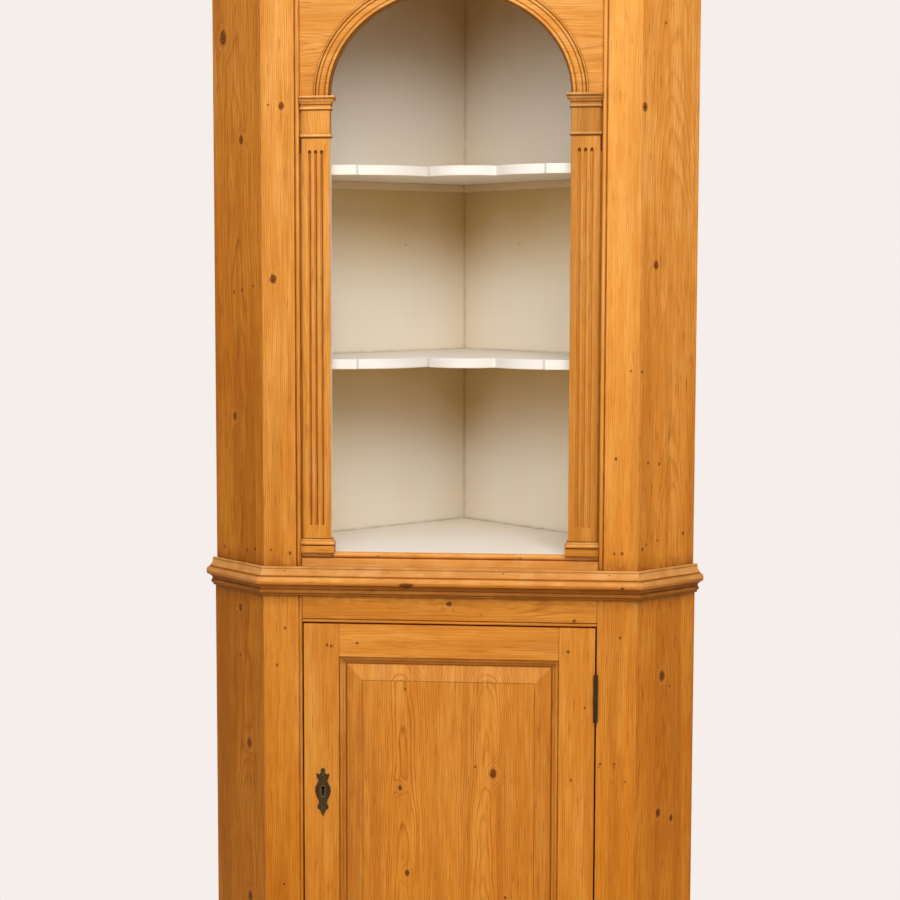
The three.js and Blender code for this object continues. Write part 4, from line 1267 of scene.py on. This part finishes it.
def make_door():
    face = (0, LOWER_FRONT, 0)
    joints = at_sides(JOINT_X, 0.0012, 0.6)
    # deep=-0.2 on the door's pieces takes part of the painted shade towards the floor off them.
    dress("door_lock_stile", pine(
        "deep pine, lock stile", "upright", 61, face, ((-0.15, 0.035),), 0.01,
        tone=1.01, deep=-0.2, contrast=0.6,
        specks=on_door((-0.2228, 0.8417, 0.0022), (-0.2154, 0.84, 0.0022)),
        soiled_and_shaded=(sticking_lines, keyhole_dark)))
    dress("door_hinge_stile", pine(
        "deep pine, hinge stile", "upright", 62, face, ((0.32, 0.03),), 0.01,
        tone=1.06, deep=-0.2, contrast=0.7,
        specks=on_door((0.2174, 0.8374, 0.0026), (0.2485, 0.735, 0.0018), (0.2245, 0.6, 0.0018)),
        soiled_and_shaded=(sticking_lines,)))
    dress("door_top_rail", pine(
        "deep pine, door top rail", "rail", 63, face, ((0.93, 0.05),), 0.02,
        tone=1.06, deep=-0.2, contrast=0.6,
        specks=on_door((-0.1674, 0.8465, 0.0022)), soiled_and_shaded=(sticking_lines, joints)))
    dress("door_bottom_rail", pine(
        "deep pine, door bottom rail", "rail", 64, face, ((0.20, 0.03),), 0.02,
        tone=0.98, deep=-0.2, soiled_and_shaded=(sticking_lines, joints)))
    dress("door_panel", pine(
        "deep pine, door panel", "upright", 65, face, ((-0.079, 0.014), (0.072, 0.012)), 0.03,
        tone=1.05, deep=-0.2, contrast=1.25, spacing=0.0025,
        knots=on_door((0.0827, 0.6081, 0.0058), (-0.0882, 0.5771, 0.0032),
                      (-0.0752, 0.4169, 0.0038)),
        specks=on_door((0.0497, 0.6203, 0.0018), (0.1058, 0.3757, 0.0024),
                       (-0.079, 0.762, 0.0018)),
        polish_and_highlight=(bevel_head_highlight,), soiled_and_shaded=(sticking_lines, bevel_side_shade)), crease=4.0)


def plate_edge(finish):
    """Darkening from the middle of the lock plate to its sides."""
    return abs(finish.right() - middle_of("escutcheon").x).rise(0.003, 0.011) * 0.9


def knuckle_lines(finish):
    """Dark lines where the knuckles of a hinge meet."""
    heights = []
    for place in ("upper", "lower"):
        low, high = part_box(place + "_hinge_door_leaf")
        heights += [low.z + (high.z - low.z) * share / 5 for share in range(1, 5)]
    return level_lines(*heights, width=0.0013, strength=0.8)(finish)


def copy_of(piece, name, move):
    """A copy of a piece with its own mesh, moved and left unturned at the origin."""
    shape = piece.data.copy()
    shape.transform(move)
    twin = bpy.data.objects.new(name, shape)
    bpy.context.scene.collection.objects.link(twin)
    return twin


def joined_piece(pieces, name):
    bpy.ops.object.select_all(action="DESELECT")
    for piece in pieces:
        piece.select_set(True)
    bpy.context.view_layer.objects.active = pieces[0]
    bpy.ops.object.join()
    pieces[0].name = name
    return pieces[0]


def cut(piece, tool):
    """Cuts one shape out of another and deletes the cutting shape."""
    apply_modifier(piece, "BOOLEAN", operation="DIFFERENCE", solver="EXACT", object=tool)
    remove(tool)


def disc(name, radius, depth):
    return new_piece(name, bpy.ops.mesh.primitive_cylinder_add, vertices=28, radius=radius,
                     depth=depth)


# The hinge screws: thickness of a head, its slot, and where they sit on a leaf, as height from the
# middle and depth from the back edge.
SCREW_HEAD = 0.0012
SCREW_SLOT = (0.0010, 0.02, 0.0009)
SCREW_SEAT = 0.0007
SCREW_SPOTS = ((-0.029, 0.0078), (0.0, 0.0062), (0.029, 0.0078))


def screw_head():
    """A flat slotted screw head, face up."""
    head = disc("screw_head", sizes().screw_radius, SCREW_HEAD)
    cut(head, block("slot", (0, 0, SCREW_HEAD / 2), SCREW_SLOT))
    ease_edges(head, sharp, 0.00012, 2)
    smooth(head)
    return head


def screw_places(node, side):
    """Where the three screws of a hinge leaf sit, on its face towards the other leaf."""
    middle = middle_of(node)
    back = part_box(node)[1].y
    for height, depth in SCREW_SPOTS:
        yield Vector((middle.x + side * 0.00015, back - depth, middle.z + height))


def make_hinges(iron):
    """The hinges with their leaves drilled for screws, and the screw heads in them."""
    head = screw_head()
    seat = disc("screw_seat", sizes().screw_radius + 0.0003, SCREW_SEAT)
    for place in ("upper", "lower"):
        dress("%s_hinge_pin" % place, iron, 0.0003)
        for part, side in (("door_leaf", -1), ("frame_leaf", 1)):
            node = "%s_hinge_%s" % (place, part)
            turn = Matrix.Rotation(-side * math.pi / 2, 4, "Y")
            seats, heads = [], []
            for number, spot in enumerate(screw_places(node, side)):
                twist = Matrix.Rotation(0.4 + number * 0.9, 4, "Z")
                seats.append(copy_of(seat, "seat", Matrix.Translation(spot) @ turn))
                sunk = spot + RIGHT * side * SCREW_SEAT
                heads.append(copy_of(head, "head", Matrix.Translation(sunk) @ turn @ twist))
            tool = joined_piece(seats, node + "_seats")
            dress(node, iron, 0.0003, worked=lambda piece, tool=tool: cut(piece, tool))
            screws = joined_piece(heads, node + "_screws")
            settle(screws, iron, body_of(frame["nodes"][node])[0])
    remove(head)
    remove(seat)


# The rim round the keyhole: its radius, width, height, and how far it is drawn down.
COLLAR_RADIUS = 0.0056
COLLAR_WIDTH = 0.0014
COLLAR_HEIGHT = 0.0011
COLLAR_DROP = 0.0115
KEYHOLE_RISE = 0.0075  # from the middle of the plate to the round of the keyhole


def keyhole_collar(bronze):
    """The raised rim round the keyhole: a ring drawn down round the slot."""
    collar = new_piece("keyhole_collar", bpy.ops.mesh.primitive_circle_add, vertices=28,
                       radius=COLLAR_RADIUS, fill_type="NGON")
    edit_mesh(collar)
    bpy.ops.mesh.select_mode(type="FACE")
    bpy.ops.mesh.select_all(action="SELECT")
    bpy.ops.mesh.inset(thickness=COLLAR_WIDTH)
    bpy.ops.mesh.delete(type="FACE")
    bpy.ops.mesh.select_mode(type="VERT")
    bpy.ops.mesh.select_all(action="DESELECT")
    mesh = bmesh.from_edit_mesh(collar.data)
    for vertex in mesh.verts:
        vertex.select_set(vertex.co.y < 0.0001)
    mesh.select_flush_mode()
    bmesh.update_edit_mesh(collar.data)
    bpy.ops.transform.translate(value=(0, -COLLAR_DROP, 0))
    bpy.ops.object.mode_set(mode="OBJECT")
    apply_modifier(collar, "SOLIDIFY", thickness=COLLAR_HEIGHT, offset=1.0)
    middle = middle_of("escutcheon")
    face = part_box("escutcheon")[0].y
    key = Vector((middle.x, face + 0.0002, middle.z + KEYHOLE_RISE))
    collar.data.transform(Matrix.Translation(key) @ Matrix.Rotation(math.pi / 2, 4, "X"))
    ease_edges(collar, sharp, 0.00035, 3)
    smooth(collar)
    settle(collar, bronze, body_of(frame["nodes"]["escutcheon"])[0])


def domed_heads(name, places, radius, finish, node):
    """Small round nail heads standing on a front face, as one piece."""
    dome = new_piece("dome", bpy.ops.mesh.primitive_uv_sphere_add, segments=20, ring_count=10,
                     radius=radius)
    bpy.ops.object.mode_set(mode="EDIT")
    bpy.ops.mesh.select_all(action="SELECT")
    bpy.ops.mesh.bisect(plane_co=(0, 0, 0), plane_no=BACK, clear_outer=True, use_fill=True)
    bpy.ops.mesh.select_all(action="SELECT")
    bpy.ops.transform.resize(value=(1.0, 0.45, 1.0), center_override=(0, 0, 0))
    bpy.ops.object.mode_set(mode="OBJECT")
    heads = [copy_of(dome, "dome_copy", Matrix.Translation(place)) for place in places]
    remove(dome)
    heads = joined_piece(heads, name)
    smooth(heads)
    settle(heads, finish, body_of(frame["nodes"][node])[0])


def make_lock():
    own = colours()
    bronze = old_metal("dark bronze, lock plate", own.bronze, own.rubbed_bronze,
                       own.bronze_stain, 3, plate_edge)
    rim = old_metal("rubbed bronze, keyhole rim", toned(own.rubbed_bronze, 0.7),
                    own.rubbed_bronze, own.bronze, 4)
    iron = old_metal("iron, lock and hinges", own.iron, own.rubbed_iron, own.rust, 9,
                     grooves=(knuckle_lines,))
    dress("escutcheon", bronze, 0.0007)
    keyhole_collar(rim)
    low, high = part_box("escutcheon")
    over = (low.x + high.x) / 2
    pins = [Vector((over, low.y + 0.0002, low.z + (high.z - low.z) * share))
            for share in (0.18, 0.865)]
    domed_heads("lock_plate_pins", pins, 0.0016, rim, "escutcheon")
    for node in ("lock_case", "lock_bolt"):
        dress(node, iron, 0.0006)
    make_hinges(iron)


def on_face(node, x, z):
    """The point on the front of a dressed piece at a width and a height."""
    piece = bpy.data.objects[node + "_softened"]
    hit, place, _, _ = piece.ray_cast(Vector((x, -1.0, z)), BACK)
    if not hit:
        raise RuntimeError("no face of %s at %.3f, %.3f" % (node, x, z))
    return place + BACK * 0.0002


# Nail heads: node, height above its foot, radius and places across.
NAILS = (
    ("waist_moulding_front", 0.0455, 0.0012, (-0.30, -0.11, 0.10, 0.29)),
    ("plinth_front", 0.055, 0.0018, (-0.29, -0.10, 0.11, 0.30)),
)


def make_nails():
    own = colours()
    iron = old_metal("iron, nail heads", own.iron, own.rubbed_iron, own.rust, 12)
    for node, height, radius, spread in NAILS:
        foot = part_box(node)[0].z
        places = [on_face(node, x, foot + height) for x in spread]
        domed_heads(node + "_nails", places, radius, iron, node)


# The stage

def make_floor(own):
    """A pale floor that takes the cupboard's shadow near it and is plain backdrop further off."""
    floor = new_piece("floor", bpy.ops.mesh.primitive_circle_add, vertices=96,
                      radius=sizes().floor_radius, fill_type="NGON")
    finish = Finish("pale floor")
    over, back = finish.right(), finish.measured(BACK)
    away = (over * over + back * back) ** 0.5
    finish.surface.inputs["Base Color"].default_value = opaque(own.backdrop)
    finish.surface.inputs["Roughness"].default_value = 0.9
    finish.surface.inputs["Specular IOR Level"].default_value = 0.1
    plain = finish.add("ShaderNodeEmission", None, {"Color": opaque(own.backdrop), "Strength": 1.0})
    seen = Shade(finish, seen_directly(finish.tree)) * away.rise(0.60, 1.05)
    sockets = {0: seen, 1: finish.surface.outputs[0], 2: plain.outputs[0]}
    both = finish.add("ShaderNodeMixShader", None, sockets)
    finish.tree.links.new(both.outputs[0], finish.output.inputs["Surface"])
    floor.data.materials.append(finish.material)


def make_stage():
    make_floor(colours())
    make_world(colours())
    make_lamps()
    make_camera()


def make_world(own):
    """Soft light from all round, seen as the plain backdrop."""
    world = bpy.data.worlds.new("pale room")
    world.use_nodes = True
    tree = world.node_tree
    tree.nodes.clear()
    room = add_node(tree, "ShaderNodeBackground", None,
                    {"Color": opaque(own.room_light), "Strength": sizes().room_strength})
    shown = add_node(tree, "ShaderNodeBackground", None,
                     {"Color": opaque(own.backdrop), "Strength": 1.0})
    sockets = {0: seen_directly(tree), 1: room.outputs[0], 2: shown.outputs[0]}
    both = add_node(tree, "ShaderNodeMixShader", None, sockets)
    add_node(tree, "ShaderNodeOutputWorld", None, {"Surface": both.outputs[0]})
    bpy.context.scene.world = world


LAMPS = (
    # name, place, aimed at, width, power
    ("window_front", (0.65, -2.7, 3.00), (0.0, 0.0, 1.30), 1.5, 44.0),
    ("window_beside", (-0.75, -3.0, 2.75), (0.0, 0.0, 1.35), 1.6, 25.0),
    ("window_high", (0.20, -1.9, 4.10), (0.0, -0.1, 1.20), 1.6, 24.0),
    ("window_behind", (1.6, 2.6, 2.6), (0.0, 0.1, 1.1), 2.0, 22.0),
)


def make_lamps():
    for name, place, aim, width, power in LAMPS:
        turn = (Vector(aim) - Vector(place)).to_track_quat("-Z", "Y").to_euler()
        bpy.ops.object.light_add(type="AREA", location=place, rotation=turn)
        lamp = bpy.context.object
        lamp.name = name
        lamp.data.size = width
        lamp.data.energy = power


def make_camera():
    bpy.ops.object.camera_add(location=CAMERA_PLACE)
    camera = bpy.context.object
    camera.name = "photograph_camera"
    turn = Matrix((CAMERA_RIGHT, CAMERA_UP, -CAMERA_FORWARD)).transposed().to_4x4()
    camera.matrix_world = Matrix.Translation(CAMERA_PLACE) @ turn
    camera.data.sensor_width = SENSOR
    camera.data.lens = LENS
    camera.data.shift_x = SHIFT
    camera.data.clip_end = 60.0
    bpy.context.scene.camera = camera
    bpy.context.scene.view_settings.view_transform = "Standard"


# Settings, operators and the sidebar panel

def colour_setting(name, description, default):
    return bpy.props.FloatVectorProperty(name=name, description=description, default=default,
                                         subtype="COLOR", size=3, min=0.0, max=1.0)


def length_setting(name, description, default):
    return bpy.props.FloatProperty(name=name, description=description, default=default,
                                   subtype="DISTANCE", unit="LENGTH", min=0.0)


class CupboardColours(bpy.types.PropertyGroup):
    """Colours of the wood, the paint, the metal and the room."""

    pine: colour_setting("Pine", "Pale early wood under the wax", (0.745, 0.322, 0.062))
    late_wood: colour_setting("Late wood", "Dark lines of the growth rings", (0.42, 0.138, 0.016))
    amber: colour_setting("Amber", "Deeper orange clouds and streaks", (0.615, 0.226, 0.030))
    # Tint of the painted shade towards the floor and on the boards set deeper.
    shade_tint: colour_setting("Deepening", "Tint of boards that have darkened", (0.89, 0.72, 0.28))
    bare_pine: colour_setting("Bare pine", "Unwaxed backs and inside", (0.47, 0.285, 0.135))
    straw: colour_setting("Straw", "Paler yellow patches", (0.79, 0.398, 0.108))
    knot: colour_setting("Knot", "Hearts of knots and resin flecks", (0.150, 0.036, 0.004))
    # Colour of old wax, dirt and painted shade in quirks, hollows and joints.
    grime_and_shade: colour_setting("Grime", "Old wax and dirt in quirks and joints", (0.150, 0.042, 0.005))
    # Also the colour of the painted highlights on crowns and bevels.
    rubbed: colour_setting("Rubbed edge", "Pale edges worn by hands", (0.90, 0.52, 0.20))
    paint: colour_setting("Paint", "Off-white paint of the inside", (0.92, 0.87, 0.805))
    aged_paint: colour_setting("Aged paint", "Yellowed parts of the paint", (0.90, 0.775, 0.55))
    # Colour of the painted shade at the top of each bay and under boards.
    shaded_paint: colour_setting("Smoked paint", "Haze at the top of each bay", (0.70, 0.50, 0.235))
    # Colour of dirt and painted shade in the corners and hollows of the paint.
    dirt_and_shade_brown: colour_setting("Old brown", "Dirt in the corners of the paint", (0.30, 0.19, 0.09))
    iron: colour_setting("Iron", "Lock case, bolt and hinges", (0.034, 0.020, 0.007))
    rubbed_iron: colour_setting("Rubbed iron", "Bright edges of the iron", (0.15, 0.095, 0.040))
    rust: colour_setting("Rust", "Rust on the iron", (0.070, 0.026, 0.006))
    bronze: colour_setting("Bronze", "Lock plate", (0.050, 0.042, 0.010))
    rubbed_bronze: colour_setting("Rubbed bronze", "Worn edges of the bronze", (0.20, 0.15, 0.075))
    bronze_stain: colour_setting("Bronze stain", "Reddish dark at the lock plate's edge",
                                 (0.062, 0.018, 0.003))
    backdrop: colour_setting("Backdrop", "Floor and wall behind", (0.922, 0.855, 0.831))
    room_light: colour_setting("Room light", "Light from all round", (1.0, 0.97, 0.94))


class CupboardSizes(bpy.types.PropertyGroup):
    """Sizes of what the finish changes."""

    eased_edge: length_setting("Eased edge", "Rounding of the boards' edges", 0.0009)
    shelf_nosing: length_setting("Shelf nosing", "Rounding of the shelves' front edges", 0.0036)
    shelf_corner: length_setting("Shelf corner", "Rounding of the corners in a shelf's front",
                                 0.0038)
    screw_radius: length_setting("Screw radius", "Radius of the screw heads in the hinges", 0.0034)
    floor_radius: length_setting("Floor radius", "Size of the floor", 14.0)
    room_strength: bpy.props.FloatProperty(
        name="Room strength", description="Strength of the light all round", default=0.42, min=0.0)


class CUPBOARD_OT_stage(bpy.types.Operator):
    """Add the floor, the lamps, the room and the camera"""

    bl_idname = "cupboard.stage"
    bl_label = "Stage"

    def execute(self, context):
        make_stage()
        return {"FINISHED"}


class CUPBOARD_OT_stiles(bpy.types.Operator):
    """Dress the four front stiles"""

    bl_idname = "cupboard.stiles"
    bl_label = "Stiles"

    def execute(self, context):
        make_stiles()
        return {"FINISHED"}


class CUPBOARD_OT_sides(bpy.types.Operator):
    """Dress the four canted side boards"""

    bl_idname = "cupboard.sides"
    bl_label = "Canted sides"

    def execute(self, context):
        make_sides()
        return {"FINISHED"}


class CUPBOARD_OT_rails(bpy.types.Operator):
    """Dress the sill rail and the rails of the lower case"""

    bl_idname = "cupboard.rails"
    bl_label = "Rails"

    def execute(self, context):
        make_rails()
        return {"FINISHED"}


class CUPBOARD_OT_arch(bpy.types.Operator):
    """Dress the arch board and its moulding"""

    bl_idname = "cupboard.arch"
    bl_label = "Arch"

    def execute(self, context):
        make_arch()
        return {"FINISHED"}


class CUPBOARD_OT_pilasters(bpy.types.Operator):
    """Dress the fluted pilasters"""

    bl_idname = "cupboard.pilasters"
    bl_label = "Pilasters"

    def execute(self, context):
        make_pilasters()
        return {"FINISHED"}


class CUPBOARD_OT_shelves(bpy.types.Operator):
    """Dress the painted shelves, their cleats and the floor board"""

    bl_idname = "cupboard.shelves"
    bl_label = "Shelves"

    def execute(self, context):
        make_shelves()
        return {"FINISHED"}


class CUPBOARD_OT_backs(bpy.types.Operator):
    """Dress the back boards"""

    bl_idname = "cupboard.backs"
    bl_label = "Backs"

    def execute(self, context):
        make_backs()
        return {"FINISHED"}


class CUPBOARD_OT_lower_inside(bpy.types.Operator):
    """Dress the boards inside the lower case and the top"""

    bl_idname = "cupboard.lower_inside"
    bl_label = "Lower inside"

    def execute(self, context):
        make_lower_inside()
        return {"FINISHED"}


class CUPBOARD_OT_mouldings(bpy.types.Operator):
    """Dress the cornice, the waist moulding and the plinth"""

    bl_idname = "cupboard.mouldings"
    bl_label = "Mouldings"

    def execute(self, context):
        make_mouldings()
        return {"FINISHED"}


class CUPBOARD_OT_door(bpy.types.Operator):
    """Dress the door frame and its panel"""

    bl_idname = "cupboard.door"
    bl_label = "Door"

    def execute(self, context):
        make_door()
        return {"FINISHED"}


class CUPBOARD_OT_lock(bpy.types.Operator):
    """Dress the lock plate, the lock and the hinges"""

    bl_idname = "cupboard.lock"
    bl_label = "Lock and hinges"

    def execute(self, context):
        make_lock()
        return {"FINISHED"}


class CUPBOARD_OT_nails(bpy.types.Operator):
    """Add the nail heads in the waist moulding and the plinth"""

    bl_idname = "cupboard.nails"
    bl_label = "Nails"

    def execute(self, context):
        make_nails()
        return {"FINISHED"}


OPERATORS = (
    CUPBOARD_OT_stage, CUPBOARD_OT_stiles, CUPBOARD_OT_sides,
    CUPBOARD_OT_rails, CUPBOARD_OT_arch, CUPBOARD_OT_pilasters,
    CUPBOARD_OT_shelves, CUPBOARD_OT_backs, CUPBOARD_OT_lower_inside,
    CUPBOARD_OT_mouldings, CUPBOARD_OT_door, CUPBOARD_OT_lock,
    CUPBOARD_OT_nails,
)


class CUPBOARD_PT_pieces(bpy.types.Panel):
    """Lists the cupboard's operators and settings in the sidebar."""

    bl_label = "Corner cupboard"
    bl_idname = "CUPBOARD_PT_pieces"
    bl_space_type = "VIEW_3D"
    bl_region_type = "UI"
    bl_category = "Cupboard"

    def draw(self, context):
        for operator in OPERATORS:
            self.layout.operator(operator.bl_idname)
        for group in (context.scene.cupboard_sizes, context.scene.cupboard_colours):
            for name in group.bl_rna.properties.keys():
                if name not in ("rna_type", "name"):
                    self.layout.prop(group, name)


CLASSES = (CupboardColours, CupboardSizes, *OPERATORS, CUPBOARD_PT_pieces)


def register():
    for kind in CLASSES:
        bpy.utils.register_class(kind)
    bpy.types.Scene.cupboard_colours = bpy.props.PointerProperty(type=CupboardColours)
    bpy.types.Scene.cupboard_sizes = bpy.props.PointerProperty(type=CupboardSizes)


def unregister():
    del bpy.types.Scene.cupboard_sizes
    del bpy.types.Scene.cupboard_colours
    for kind in reversed(CLASSES):
        bpy.utils.unregister_class(kind)


def main():
    register()
    for operator in OPERATORS:
        getattr(bpy.ops.cupboard, operator.bl_idname.split(".")[1])()


if __name__ == "__main__":
    main()
